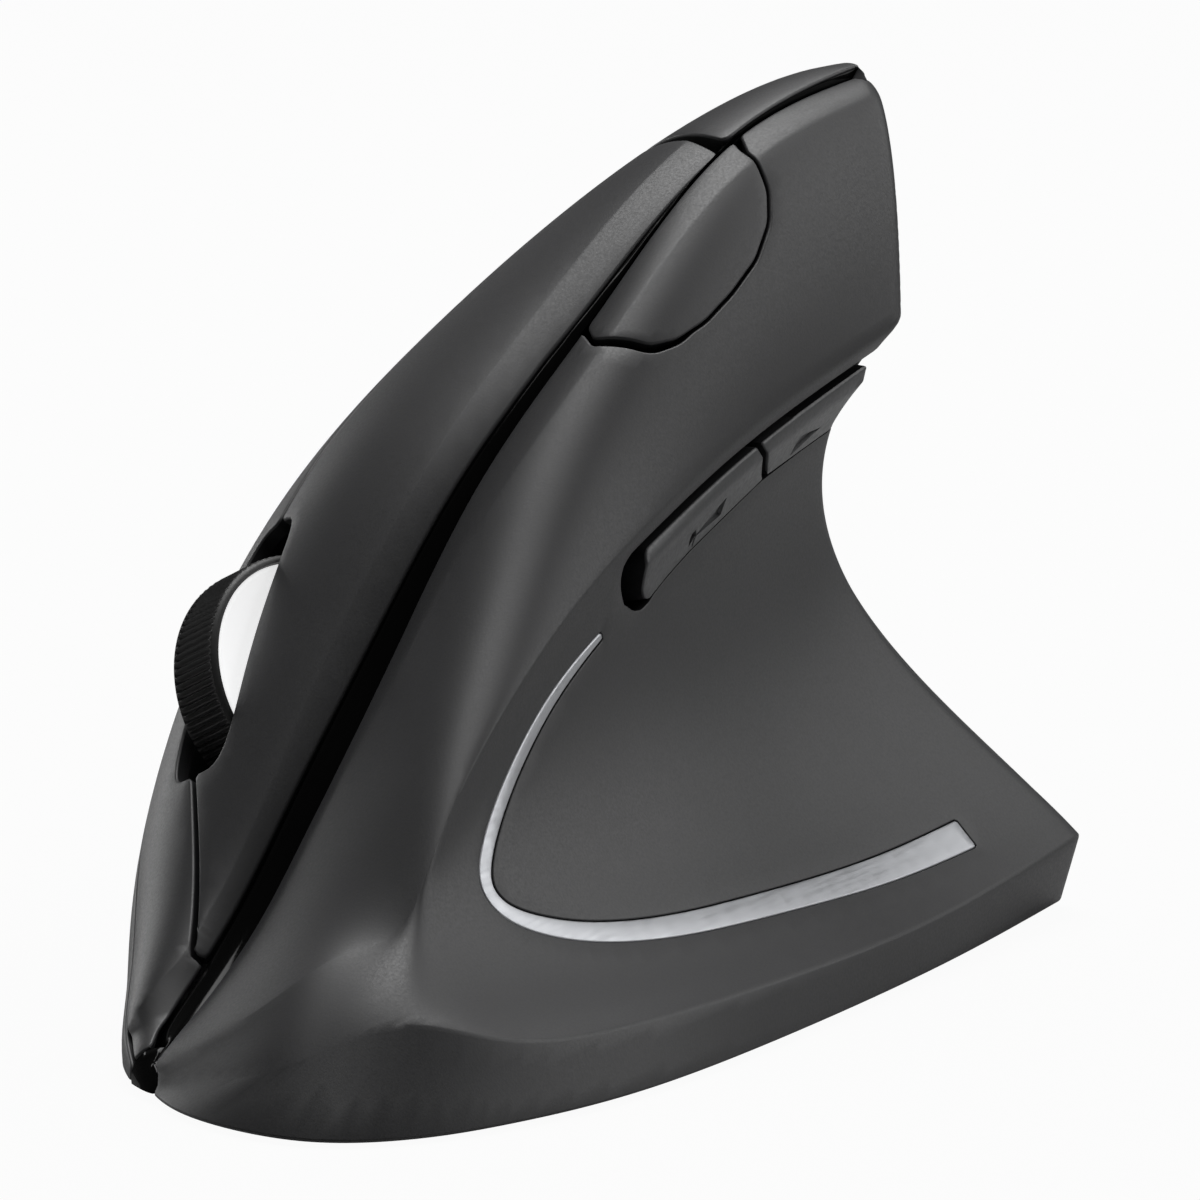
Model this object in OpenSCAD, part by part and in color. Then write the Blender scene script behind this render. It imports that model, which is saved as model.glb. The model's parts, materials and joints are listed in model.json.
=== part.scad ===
// Vertical wireless mouse for the right hand.
// Front is -Y, the thumb side is +X, the finger side is -X and up is +Z.

/* [Body] */
// Length of the shell from nose to tail
body_l = 118; // [112:1:126]
// Width of the shell at the base
body_w = 62; // [60:1:68]
// Height of the shell above the glide feet
body_h = 76; // [74:1:82]
// Wall of the two shells
wall = 2; // [1.6:0.1:2.4]
// Open seam round the buttons and between the shells
seam = 0.5; // [0.4:0.05:0.7]
// Width of the gloss strip along the spine
strip_w = 2.4; // [1.8:0.1:3]
// Depth of the gloss strip
strip_h = 1.6; // [1.2:0.1:2]
// Width of the silver accent at its rear end
accent_w = 2.4; // [1.6:0.1:3]
// Depth of the silver accent in the thumb shell
accent_h = 0.9; // [0.6:0.1:1.2]

/* [Buttons] */
// Wall of the two main buttons
button_t = 1.8; // [1.4:0.1:2.2]
// Height by which the thumb buttons stand proud
thumb_proud = 1; // [0.6:0.1:1.4]
// Diameter of the ribs that press the switches
nub_d = 2.4; // [1.8:0.1:3]
// Free play between a rib and its switch plunger
nub_gap = 0.1; // [0.05:0.01:0.2]

/* [Wheel] */
// Diameter over the tyre
wheel_d = 22; // [20:0.5:24]
// Width of the tyre
wheel_w = 7; // [6:0.5:8]
// Height of the tyre above the shell
wheel_proud = 3.5; // [3:0.1:4]
// Thickness of the tyre over the rim
tyre_t = 1.3; // [1:0.1:2]
// Diameter of the wheel axle
axle_d = 2.6; // [2:0.1:3]
// Radial running clearance of the axle
run_gap = 0.05; // [0.02:0.01:0.1]
// Travel of the wheel when it is clicked
click = 0.5; // [0.3:0.1:0.7]

/* [Electronics] */
// Thickness of the circuit boards
board_t = 1.2; // [1:0.1:1.6]
// Length of a main switch
switch_l = 12.8; // [12:0.1:13.2]
// Width of a main switch
switch_w = 5.8; // [5.4:0.1:6]
// Height of a main switch body
switch_h = 6.5; // [6:0.1:6.8]
// Side of a square push switch
tact_w = 6; // [5:0.1:6.4]
// Height of a push switch body
tact_h = 3.5; // [3:0.1:3.8]
// Diameter of the switch plungers
plunger_d = 2.4; // [2:0.1:3]
// Height of a plunger above its switch
plunger_h = 0.8; // [0.7:0.1:1]

/* [Power] */
// Diameter of a battery cell
cell_d = 10.5; // [10.2:0.1:10.8]
// Length of a battery cell
cell_l = 44.5; // [43.5:0.1:45]
// Wall of the battery box
box_t = 1.2; // [1:0.1:1.6]
// Width of the stored radio receiver
dongle_w = 14; // [12:0.5:16]
// Length of the stored radio receiver
dongle_l = 18.5; // [16:0.5:20]
// Thickness of the stored radio receiver
dongle_h = 5.6; // [5:0.1:6.5]

/* [Base] */
// Thickness of the glide feet
foot_t = 0.8; // [0.5:0.1:1]
// Width of a glide foot
foot_w = 5; // [4:0.5:7]
// Thickness of the base plate
floor_t = 2; // [1.8:0.1:2.4]
// Clearance between pieces that are laid into each other
fit = 0.25; // [0.15:0.05:0.35]
// Diameter of the screw shanks
screw_d = 2.2; // [2:0.1:2.6]
// Diameter of the screw heads
screw_head_d = 4.4; // [4:0.1:4.8]

/* [Hidden] */

// Reference body on which the rail points are drawn
ref_w = 62;
ref_l = 118;
ref_h = 76;
floor_z = foot_t + floor_t;

// Smooth curve through points: second differences by one forward and one backward sweep
function sweep(p, i, c, d) = i > len(p) - 2 ? [c, d] :
    let (k = 1 / (4 - c[i - 1]), bend = 6 * (p[i - 1] - 2 * p[i] + p[i + 1]))
    sweep(p, i + 1, concat(c, [k]), concat(d, [(bend - d[i - 1]) * k]));
function unsweep(c, d, i, m) = i < 1 ? concat([0 * d[0]], m) :
    unsweep(c, d, i - 1, concat([d[i] - c[i] * m[0]], m));
function bends(p) = let (s = sweep(p, 1, [0], [0 * p[0]])) unsweep(s[0], s[1], len(p) - 2, [0 * p[0]]);
function curve(p) = [p, bends(p)];
function at(r, t) = let (
        n = len(r[0]) - 1, x = min(max(t, 0), 1) * n, i = min(floor(x), n - 1), w = x - i, s = 1 - w)
    s * r[0][i] + w * r[0][i + 1] + ((pow(w, 3) - w) * r[1][i + 1] + (pow(s, 3) - s) * r[1][i]) / 6;
// The shift sets the middle of the body over the origin
shift_x = 0.225;
shift_y = 0.04;
function rail(p) = curve([for (q = p)
    [(q.x + shift_x) * body_w / ref_w, (q.y + shift_y) * body_l / ref_l, q.z * body_h / ref_h + foot_t]]);
function bez2(a, b, c, t) = (1 - t) * (1 - t) * a + 2 * t * (1 - t) * b + t * t * c;
function bez3(a, b, c, d, t) = (1 - t) * bez2(a, b, c, t) + t * bez2(b, c, d, t);
function unit(v) = v / norm(v);
function mix(a, b, t) = a + (b - a) * t;
function spread(a, b, n) = [for (i = [0 : n]) a + (b - a) * i / n];
function flat(rows) = [for (row = rows) for (p = row) p];

// Rails of the thumb side, from the nose to the rear edge
spine = rail([[-6.5, -49, 2], [-5.5, -42.5, 6], [-4.5, -34.5, 12], [-3.2, -26.5, 21], [-1.2, -17, 32],
    [1.5, -5.5, 45], [4.8, 9, 57], [7.5, 27, 69], [11.4, 46.4, 74]]);
brow = rail([[-6.2, -49.3, 1.7], [-0.5, -47, 7], [4, -42, 13], [7, -36, 19.5], [8, -25, 30.5],
    [9, -11, 43], [11, 3, 53.5], [14.5, 21, 63], [16.4, 43.3, 72.4]]);
crease = rail([[-6, -49.6, 1.4], [4, -49, 8], [9, -45, 12], [13, -41, 14.5], [13, -32, 23],
    [13, -14, 34.5], [14, 3, 42], [16, 19, 48], [19.7, 37.4, 53.6]]);
scoop_top = rail([[-5.8, -49.9, 1.1], [5, -51, 6.5], [10.2, -48.5, 10], [14.5, -44, 12.5], [13, -34, 16],
    [11.5, -15, 24], [10.5, 1.5, 29], [8, 17, 32], [2, 30.7, 33.7]]);
scoop_low = rail([[-5.7, -50.1, 0.9], [5.5, -53, 5], [11.2, -51, 8], [16.5, -47, 10], [18, -38, 9],
    [18, -22, 9], [18, 0, 11], [18.5, 23, 12], [21.5, 48.2, 17]]);
lip = rail([[-5.5, -50.4, 0.6], [6, -54.5, 3.5], [12, -53, 6], [18, -49, 8], [24.5, -42, 6],
    [28.5, -26, 5], [30.5, 0, 4.5], [30.5, 26, 4.5], [29.7, 53.2, 6.1]]);
thumb_base = rail([[-5.5, -50.8, 0], [2, -56.5, 0], [13, -59, 0], [21, -54, 0], [26, -45, 0],
    [30, -28, 0], [31, 0, 0], [30, 28, 0], [27.5, 54, 0]]);
// Rails of the palm side, from the nose round the finger side and the tail
palm_high = rail([[-7.4, -48.7, 1.8], [-10.9, -43.3, 7.2], [-14.2, -34.3, 15], [-16.7, -24.8, 25.5],
    [-18.7, -14.2, 39.6], [-17.4, -2.1, 52.4], [-13.8, 13.1, 63.2], [-7.6, 31.1, 72.4], [2, 50, 77.5],
    [4, 44, 56], [3, 46, 33], [26, 53, 4]]);
palm_low = rail([[-7.6, -49.9, 0.6], [-13.2, -43.4, 4], [-19, -33, 9.5], [-26, -22, 18], [-31.4, -8.2, 27.8],
    [-34.4, 8.9, 38.4], [-32.6, 28.1, 46.5], [-24.6, 48.1, 52.5], [-10, 60, 52], [-4, 57, 34], [12, 60, 14],
    [27.5, 54, 2]]);
palm_base = rail([[-7.2, -50.4, 0], [-12.6, -43.3, 0], [-17.5, -34, 0], [-22.5, -23.5, 0], [-27, -10, 0],
    [-30.5, 8, 0], [-30.5, 28, 0], [-24, 46, 0], [-10, 56, 0], [8, 59, 0], [20, 57.5, 0], [27.5, 54, 0]]);

// Shares of a rib at which the crease and the lip lie, and of the palm side that runs along the spine
v_crease = 0.42;
v_lip = 0.9;
u_top = 8 / 11;
thumb = function (u, v)
    v <= v_crease ? bez2(at(spine, u), at(brow, u), at(crease, u), v / v_crease) :
    v <= v_lip ? bez3(at(crease, u), at(scoop_top, u), at(scoop_low, u), at(lip, u),
        (v - v_crease) / (v_lip - v_crease)) :
    mix(at(lip, u), at(thumb_base, u), (v - v_lip) / (1 - v_lip));
function palm_top(u) = u <= u_top ? at(spine, u / u_top) : thumb(1, (u - u_top) / (1 - u_top));
palm = function (u, v) bez3(palm_top(u), at(palm_high, u), at(palm_low, u), at(palm_base, u), v);

// Outward normal; the turn is -1 on the thumb side and 1 on the palm side.
// The inner faces use a wide step, which rounds them inside the crease and the corners.
step = 0.004;
function wide_step(turn) = turn < 0 ? 0.22 : 0.12;
function normal(surf, turn, u, v, h = step) = let (
        along = surf(min(u + h, 1), v) - surf(max(u - h, 0), v),
        across = surf(u, min(v + h, 1)) - surf(u, max(v - h, 0)))
    turn * unit(cross(along, across));
// Point at a depth under a surface, never below the foot of the shell
function under(surf, turn, u, v, depth) = let (
        p = surf(u, v) - depth * normal(surf, turn, u, v, wide_step(turn)))
    [p.x, p.y, max(p.z, foot_t)];
function outside(surf, turn, us, lines, off) = [for (u = us) [for (v = lines(u))
    surf(u, v) + off(u, v) * normal(surf, turn, u, v)]];
function inside(surf, turn, us, lines, depth) = [for (u = us) [for (v = lines(u))
    under(surf, turn, u, v, depth(u, v))]];

// Closed panel over the grid cells that keep(i, j) names, from an outer offset to a depth under a surface.
// The cells that sunk(i, j) names are let in to a depth of sink.
no_cell = function (i, j) false;
module panel(surf, turn, us, lines, outer, depth, keep, sunk = no_cell, sink = 0) {
    n = len(us);
    m = len(lines(us[0]));
    k = n * m;
    points = concat(flat(outside(surf, turn, us, lines, outer)), flat(inside(surf, turn, us, lines, depth)),
        sink == 0 ? [] : flat(inside(surf, turn, us, lines, function (u, v) sink)));
    has = function (i, j) i >= 0 && j >= 0 && i < n - 1 && j < m - 1 && keep(i, j);
    quad = function (a, b, c, d) turn < 0 ? [[a, b, c], [a, c, d]] : [[a, c, b], [a, d, c]];
    drop = function (p, q, a, b) p < q ? quad(p + a, q + a, q + b, p + b) : quad(q + a, q + b, p + b, p + a);
    side = function (low, i, j, p, q) !has(i, j) ? drop(p, q, low, k) :
        low == 0 && sunk(i, j) ? drop(p, q, 0, 2 * k) : [];
    faces = [for (i = [0 : n - 2]) for (j = [0 : m - 2]) if (has(i, j)) let (
            a = i * m + j, b = a + m, c = b + 1, d = a + 1, low = sunk(i, j) ? 2 * k : 0)
        for (f = concat(quad(a + low, b + low, c + low, d + low), quad(a + k, d + k, c + k, b + k),
            side(low, i - 1, j, a, d), side(low, i + 1, j, c, b),
            side(low, i, j - 1, b, a), side(low, i, j + 1, d, c))) f];
    polyhedron(points = points, faces = faces, convexity = 8);
}
function index_of(list, x) = len([for (y = list) if (y < x - 0.00001) y]);

// Seams of the palm side, as shares of its length u and of a rib v
u_nose = 0.03;
u_front = 0.14;
u_hinge = 0.64;
u_slot = [0.272, 0.416];
u_seam = 0.004;
v_side = 0.7;
v_split = 0.39;
split_slope = 1.6;
slot_gap = 0.8;
function rib_speed(u) = 3 * norm(at(palm_high, u) - palm_top(u));
function strip_share(u) = strip_w * min(1, max(0.4, (0.72 - u) * 4));
function strip_v(u) = min((strip_share(u) + seam / 2) / rib_speed(u), 0.25);
function split_v(u) = v_split - split_slope * max(0, u_slot[0] - u);
function split_speed(u) = norm(palm(u, split_v(u) + 0.01) - palm(u, split_v(u) - 0.01)) / 0.02;
function in_slot(u) = u > u_slot[0] && u < u_slot[1];
function split_half(u) = (in_slot(u) ? wheel_w / 2 + slot_gap : seam / 2) / split_speed(u);
// The side seam is wider, as the lower edge of the button swings towards it
side_play = 0.3;
function side_speed(u) = norm(palm(u, v_side + 0.01) - palm(u, v_side - 0.01)) / 0.02;
palm_lines = function (u) let (
        e = strip_v(u),
        bevel = min(e + 3 / rib_speed(u), e + 0.12),
        low = max(split_v(u) - split_half(u), bevel + 0.04),
        high = max(split_v(u) + split_half(u), low + seam / split_speed(u)),
        cut = min((seam + side_play) / side_speed(u), 0.12),
        side = max(v_side, high + 0.1 + cut))
    concat([e], [bevel], [for (t = [0.33, 0.67]) mix(bevel, low, t)], [low, high],
        [for (t = [0.25, 0.5, 0.75]) mix(high, side - cut, t)], [side - cut, side],
        [for (t = [0.25, 0.5, 0.75, 1]) mix(side, 1, t)]);
// Grid lines along the palm side; the seams lie between neighbouring lines
palm_us = concat(spread(u_nose, u_front - u_seam, 4), spread(u_front, u_slot[0] - u_seam, 5),
    spread(u_slot[0] + u_seam / 4, u_slot[1] - u_seam / 4, 6), spread(u_slot[1] + u_seam, u_hinge, 8),
    spread(u_hinge + u_seam, u_top, 3), spread(u_top + 0.02, 1 - 0.01, 12));
i_front = len(spread(0, 1, 4));
i_hinge = i_front + len(spread(0, 1, 5)) + len(spread(0, 1, 6)) + len(spread(0, 1, 8)) - 1;
// Line numbers across: strip edge, bevel, split between the buttons, side seam
j_low = 4;
j_side = 9;
bevel_drop = 0.5;
button_top = function (u, v) v < strip_v(u) + 0.001 ? -bevel_drop : 0;

// Seams of the thumb side
u_dpi = [0.742, 0.896];
dpi_reach = 0.228;
dpi_play = 0.35;
u_keys = [0.714, 0.872, 0.984];
v_keys = [0.446, 0.5];
key_gap_u = 0.004;
key_gap_v = 0.008;
function rise(x) = x >= 1 ? 1 : x <= 0 ? 0 : sqrt(1 - (1 - x) * (1 - x));
function dpi_edge(u) = let (s = (u - u_dpi[0]) / (u_dpi[1] - u_dpi[0]))
    max(0.03, dpi_reach * min(rise(s / 0.5), s > 1 ? 0.4 : rise((1.03 - s) / 0.25)));
function thumb_speed(u) = 2 / v_crease * norm(at(brow, u) - at(spine, u));
// Silver accent: a hook on the scoop; its upper arm ends at u_hook, its lower arm at u_tail
u_turn = [0.529, 0.537];
v_turn = 0.612;
u_hook = 0.69;
u_tail = 0.934;
accent_v = accent_w / 80;
function arm(u, from, to, reach, power) = reach * pow(min(1, max(0, (u - from) / (to - from))), power);
function arm_a(u, i, half) = u > u_hook ? v_keys[1] + 0.03 + half :
    v_turn - 0.016 + half - arm(u, u_turn[i], u_hook, 0.1, 0.45);
function arm_b(u, i, half) = v_turn + 0.016 + half + arm(u, u_turn[i], u_tail, 0.212 + half, 0.33);
thumb_lines = function (u) let (
        by_dpi = u > u_dpi[0] - key_gap_u / 2 && u < u_dpi[1] + key_gap_u / 2,
        e = min((seam / 2 + (by_dpi ? dpi_play : 0)) / thumb_speed(u), 0.02),
        d = dpi_edge(u),
        cut = d + min((seam + dpi_play / 2) / thumb_speed(u), 0.016),
        low_a = arm_a(u, 0, -accent_v / 8), high_a = arm_a(u, 1, accent_v / 8),
        low_b = arm_b(u, 1, -accent_v / 4), high_b = arm_b(u, 0, accent_v / 4),
        keys = u < u_keys[0] - 2 * key_gap_u ?
            [for (t = [0.2, 0.3, 0.55, 0.8, 0.9]) mix(v_crease, low_a, t)] :
            [v_keys[0] - key_gap_v, v_keys[0], 0.473, v_keys[1], v_keys[1] + key_gap_v])
    concat([e, mix(e, d, 0.5), d, cut], [for (t = [0.3, 0.6, 0.85]) mix(cut, v_crease, t)], [v_crease], keys,
        [low_a, high_a, mix(high_a, low_b, 0.33), mix(high_a, low_b, 0.67), low_b, high_b],
        [for (t = [0.5, 1]) mix(high_b, v_lip, t)], [1]);
thumb_us = concat(spread(u_nose / u_top, u_turn[0] - 0.03, 12), spread(u_turn[0], u_turn[1], 2),
    [for (t = [0.04, 0.1, 0.19, 0.32, 0.49, 0.7, 1]) mix(u_turn[1], u_hook, t)],
    [u_keys[0] - key_gap_u, u_keys[0], u_dpi[0] - key_gap_u], spread(u_dpi[0], u_keys[1] - key_gap_u, 6),
    [u_keys[1] + key_gap_u, u_dpi[1], u_dpi[1] + key_gap_u, 0.918, u_tail, 0.957],
    [u_keys[2] - key_gap_u, u_keys[2] + key_gap_u, 1]);
i_keys = index_of(thumb_us, u_keys[0]);
i_dpi = index_of(thumb_us, u_dpi[0]);
i_gap = index_of(thumb_us, u_keys[1] - key_gap_u);
i_dpi_end = index_of(thumb_us, u_dpi[1]);
i_keys_end = index_of(thumb_us, u_keys[2] - key_gap_u);
i_turn = [index_of(thumb_us, u_turn[0]), index_of(thumb_us, u_turn[1])];
i_hook = index_of(thumb_us, u_hook);
i_tail = index_of(thumb_us, u_tail);
j_dpi = 2;
j_keys = 8;
j_arm = [13, 17];
accent_cell = function (i, j) i >= i_turn[0] && (j == j_arm[0] && i < i_hook || j == j_arm[1] && i < i_tail
    || j > j_arm[0] && j < j_arm[1] && i < i_turn[1]);
// The wall thins out towards the nose and behind the tight part of the crease
crease_thin = 0.45;
function hump(x) = abs(x) < 1 ? 0.5 + 0.5 * cos(180 * x) : 0;
edge_t = 0.8;
function mitre(t, away, edge = edge_t) = min(t, edge + 0.8 * max(0, away));
function thumb_wall(u, v) = mitre(mitre(wall, v * thumb_speed(u)), (1 - u) * body_l - 0.6, 0.4)
    * min(1, 0.3 + 6 * u) * (1 - crease_thin * hump((u - 0.44) / 0.2) * hump((v - 0.44) / 0.16));
function palm_wall(t, u, v) = let (away = (v - strip_v(u)) * rib_speed(u))
    u > u_top ? mitre(t, away - 0.4, 0.4) : mitre(t, away);

// Colours
charcoal = [0.2, 0.2, 0.21];
dark = [0.12, 0.12, 0.13];
gloss = [0.02, 0.02, 0.02];
silver = [0.75, 0.75, 0.77];
board_green = [0.05, 0.3, 0.16];
switch_black = [0.08, 0.08, 0.09];
plunger_red = [0.75, 0.12, 0.1];
copper = [0.8, 0.65, 0.4];

thumb_wall_at = function (u, v) thumb_wall(u, v);
thumb_cell = function (i, j) !(j <= j_dpi && i >= i_dpi - 1 && i <= i_dpi_end)
    && !(j >= j_keys && j <= j_keys + 3 && i >= i_keys - 1 && i <= i_keys_end);

// Closed solid through equal rings of points
module tube(rings) {
    n = len(rings);
    m = len(rings[0]);
    walls = [for (i = [0 : n - 2]) for (j = [0 : m - 1]) let (
            a = i * m + j, b = i * m + (j + 1) % m, c = b + m, d = a + m) for (f = [[a, b, c], [a, c, d]]) f];
    polyhedron(points = flat(rings), convexity = 6,
        faces = concat(walls, [for (j = [1 : m - 2]) [0, j + 1, j]],
            [for (j = [1 : m - 2]) [(n - 1) * m, (n - 1) * m + j, (n - 1) * m + j + 1]]));
}

// Local frames: x, y, z are the frame's axes in the part
module place(f) {
    multmatrix([[f[1].x, f[2].x, f[3].x, f[0].x], [f[1].y, f[2].y, f[3].y, f[0].y],
        [f[1].z, f[2].z, f[3].z, f[0].z], [0, 0, 0, 1]]) children();
}
function local(f, p) = let (d = p - f[0]) [d * f[1], d * f[2], d * f[3]];
function world(f, p) = f[0] + p.x * f[1] + p.y * f[2] + p.z * f[3];

// Wheel frame: x along the axle, y along the roll, z out of the shell, at the axle
rim_d = wheel_d - 2 * tyre_t;
wheel_share = 0.56;
wheel_u = mix(u_slot[0], u_slot[1], wheel_share);
wheel_z = normal(palm, 1, wheel_u, v_split);
wheel_run = palm(u_slot[1], v_split) - palm(u_slot[0], v_split);
wheel_y = unit(wheel_run - (wheel_run * wheel_z) * wheel_z);
wheel_frame = [palm(wheel_u, v_split) - (wheel_d / 2 - wheel_proud) * wheel_z,
    cross(wheel_y, wheel_z), wheel_y, wheel_z];

// Share of a surface at which a line along z through x and y of a frame meets it
function uv_step(surf, f, x, y, q) = let (
        p = local(f, surf(q.x, q.y)),
        a = (local(f, surf(q.x + step, q.y)) - p) / step, b = (local(f, surf(q.x, q.y + step)) - p) / step,
        det = a.x * b.y - b.x * a.y, dx = x - p.x, dy = y - p.y)
    [q.x + (dx * b.y - b.x * dy) / det, q.y + (a.x * dy - dx * a.y) / det];
function uv_at(surf, f, x, y, q, n = 6) = n == 0 ? q : uv_at(surf, f, x, y, uv_step(surf, f, x, y, q), n - 1);
function height_at(surf, f, x, y, q) = let (r = uv_at(surf, f, x, y, q)) local(f, surf(r.x, r.y)).z;

// Heights in the wheel frame
carrier_x = wheel_w / 2 + 0.9;
cheek_t = 1.4;
board_top = -wheel_d / 2 + 3.2;
board_low = board_top - board_t;
bar_top = -wheel_d / 2 - 1;
bar_t = 1.6;
bar_low = bar_top - bar_t;
cheek_w = 7;
slot_x = wheel_w / 2 + 0.8;
slot_y = wheel_d / 2 + 1;
post_t = 1.5;
encoder_w = 6;
encoder_top = axle_d / 2 + 0.5;
encoder_low = 4.2;
encoder_t = 3;
switch_x = slot_x + switch_w / 2 + 0.4;
switch_y = cheek_w / 2 + post_t + switch_l / 2 + 0.5;
click_x = carrier_x + cheek_t + tact_w / 2 + 0.5;
click_y = 0.8;
board_x = click_x + tact_w / 2 + 0.1;
board_front = slot_y + 2.5;
board_rear = switch_y + switch_l / 2 + 0.2;
tray_t = 1.6;
leg_d = 5;
switch_top = board_top + switch_h;

// A rib that reaches from a button's underside to its switch plunger
module rib(f, surf, x, y, q, foot, sunk) {
    top = height_at(surf, f, x, y, q);
    place(f) translate([x, y, foot + nub_gap]) cylinder(d = nub_d, h = top - foot - nub_gap - sunk, $fn = 24);
}
plunger_in = 0.6;
plunger_well = plunger_in + click + 0.7;
module switch_body(f, x, y, z, size) {
    place(f) translate([x, y, z]) difference() {
        translate([-size.x / 2, -size.y / 2, 0]) cube(size);
        translate([0, 0, size.z - plunger_well])
            cylinder(d = plunger_d + 2 * run_gap, h = plunger_well + 1, $fn = 24);
    }
}
module push_switch(f, x, y, z) { switch_body(f, x, y, z, [tact_w, tact_w, tact_h]); }
module plunger(f, x, y, z) {
    place(f) translate([x, y, z - plunger_in]) cylinder(d = plunger_d, h = plunger_h + plunger_in, $fn = 24);
}

// Thumb key frame: z is the press direction turned outwards, y runs along the keys
key_run = thumb(u_keys[2], 0.473) - thumb(u_keys[0], 0.473);
key_tilt = atan2(key_run.z, key_run.y);
key_mid = thumb(u_keys[1], 0.473);
key_frame = [[0, key_mid.y, key_mid.z], [0, -sin(key_tilt), cos(key_tilt)],
    [0, cos(key_tilt), sin(key_tilt)], [1, 0, 0]];
key_depth = min([for (u = spread(u_keys[0], u_keys[2], 6)) thumb(u, 0.473).x]) - 3.2;
key_board = key_depth - plunger_h - tact_h;
forward_y = local(key_frame, thumb((u_keys[0] + u_keys[1]) / 2, 0.473)).y;
back_y = local(key_frame, thumb((u_keys[1] + u_keys[2]) / 2, 0.473)).y;

// Frame of the speed button, z out of the shell
dpi_uv = [0.825, 0.115];
dpi_z = normal(thumb, -1, dpi_uv.x, dpi_uv.y);
dpi_run = thumb(u_dpi[1], dpi_uv.y) - thumb(u_dpi[0], dpi_uv.y);
dpi_y = unit(dpi_run - (dpi_run * dpi_z) * dpi_z);
dpi_frame = [thumb(dpi_uv.x, dpi_uv.y), cross(dpi_y, dpi_z), dpi_y, dpi_z];
dpi_depth = -wall - 1.4;
dpi_board_top = dpi_depth - plunger_h - tact_h;
dpi_board_w = 8;

// Base outline: inside of the shells at the floor
foot_gap = 0.5;
function thumb_foot(u) = let (v = mix(0.8, 0.95, min(1, max(0, (u - 0.1) / 0.4))))
    under(thumb, -1, u, v, thumb_wall(u, v) + foot_gap + 0.6);
function palm_foot(u) = under(palm, 1, u, 1, wall + foot_gap);
base_outline = concat([for (u = spread(0.1, 0.98, 30)) thumb_foot(u)],
    [for (u = spread(0.96, 0.1, 30)) palm_foot(u)]);
module base_shape() { polygon([for (p = base_outline) [p.x, p.y]]); }

// Battery box, along Y at the tail
box_gap = 0.3;
cell_pitch = cell_d + 0.8;
cell_x = 1.6;
contact_t = 0.5;
contact_h = 0.9;
bay_l = cell_l + 2 * (contact_t + contact_h);
bay_w = cell_d + cell_pitch + 2 * box_gap;
tail_y = 51.3 * body_l / ref_l;
bay_y = tail_y - box_t - bay_l;
bay_top = floor_z + cell_d + 2 * box_gap;
cell_z = bay_top - box_gap / 2 - cell_d / 2;
bay_bevel = 3.2;
door_w = bay_w - 1;
door_slide = 4;
door_l = bay_l - door_slide - 2;
tongue_w = 4;
tongue_x = -0.9;
tongue_t = 1;
tongue_l = 3;
door_t = floor_t - 0.2;

// Optical parts
eye_x = 4.5;
eye_y = -32;
eye_w = 9;
eye_l = 10;
eye_h = 2.4;
lens_hole = 7;
main_z = floor_z + 2.4;
main_x = [-5, 20];
main_y = [-48, -25];
spacer_d = 3;
spacer_sink = 0.5;
spacer_x = [main_x[0] + 2.8, main_x[1] - 4];
spacer_y = [main_y[0] + 10, main_y[1] - 3];
// Power switch, its knob slides along X
power_x = 5;
power_y = -42;
power_w = 8;
knob_w = 2.6;
power_travel = 2.5;
chip_w = 7;

// Legs of the button frame, in the wheel frame
leg_xy = [[slot_x - 1, -board_front + leg_d / 2], [-board_x + leg_d / 2, -board_front + leg_d / 2],
    [-board_x + leg_d / 2, board_rear - leg_d / 2]];
legs = [for (q = leg_xy) world(wheel_frame, [q.x, q.y, board_low - tray_t])];
// Lug of the button frame on the central frame
lug = [board_x - leg_d / 2, board_rear - 7, board_low - tray_t / 2];
lug_d = 3;
lug_l = 20;
// Central frame, a plate on the middle of the body
mid_gap = 0.3;
mid_t = 2;
mid_x = key_board - board_t - mid_gap - mid_t / 2;
// Its front edge lies behind the underside of the button frame
function behind_tray(y) = let (f = wheel_frame, low = board_low - tray_t - 2 * mid_gap)
    f[0].z + (low - (mid_x - mid_t / 2 - f[0].x) * f[3].x - (y - f[0].y) * f[3].y) / f[3].z;
mid_foot = [bay_y - box_t - 10, bay_y - box_t - 1.2];
mid_rear = [for (p = [[22, 55], [40, 60], [46, 56]]) [p.x * body_l / ref_l, p.y * body_h / ref_h]];
mid_front = [for (y = [mid_foot[0], mid_foot[0] + 14]) [y, behind_tray(y)]];
mid_top = concat(mid_front, mid_rear);
mid_leg = [mid_x + mid_t / 2 - leg_d / 2, mid_foot[1] - 4.9];
mid_leg_h = 14;
// Radio receiver pocket, under the thumb
pocket_t = 1;
pocket_w = dongle_w + 2 * (fit + pocket_t);
pocket_l = dongle_l + 2 * (fit + pocket_t);
dongle_x = mid_x + mid_t / 2 + fit + pocket_w / 2;
dongle_y = bay_y - box_t - 0.1 - pocket_l / 2;
screw_l = 5.4;
screw_head_h = 1.2;
function screw_reach(top) = min(screw_l, top - foot_t + 0.6);
screw_spots = concat([for (p = legs) [p.x, p.y, screw_reach(p.z)]], [[mid_leg.x, mid_leg.y, screw_l]]);
foot_spots = [[11, -49, 10, 0], [-16, -22.5, 6, 62], [-22, 34, 8, 100], [22.5, 46, 8, 60]];

// Holes for the screws in the legs, and the room under the top of the base plate
module screw_holes() {
    for (s = screw_spots) translate([s.x, s.y, 0])
        cylinder(d = screw_d + 2 * run_gap, h = foot_t + s.z + 0.5, $fn = 24);
}
module below_floor(gap) { translate([-body_w, -body_l, gap]) cube([2 * body_w, 2 * body_l, floor_z]); }

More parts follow.
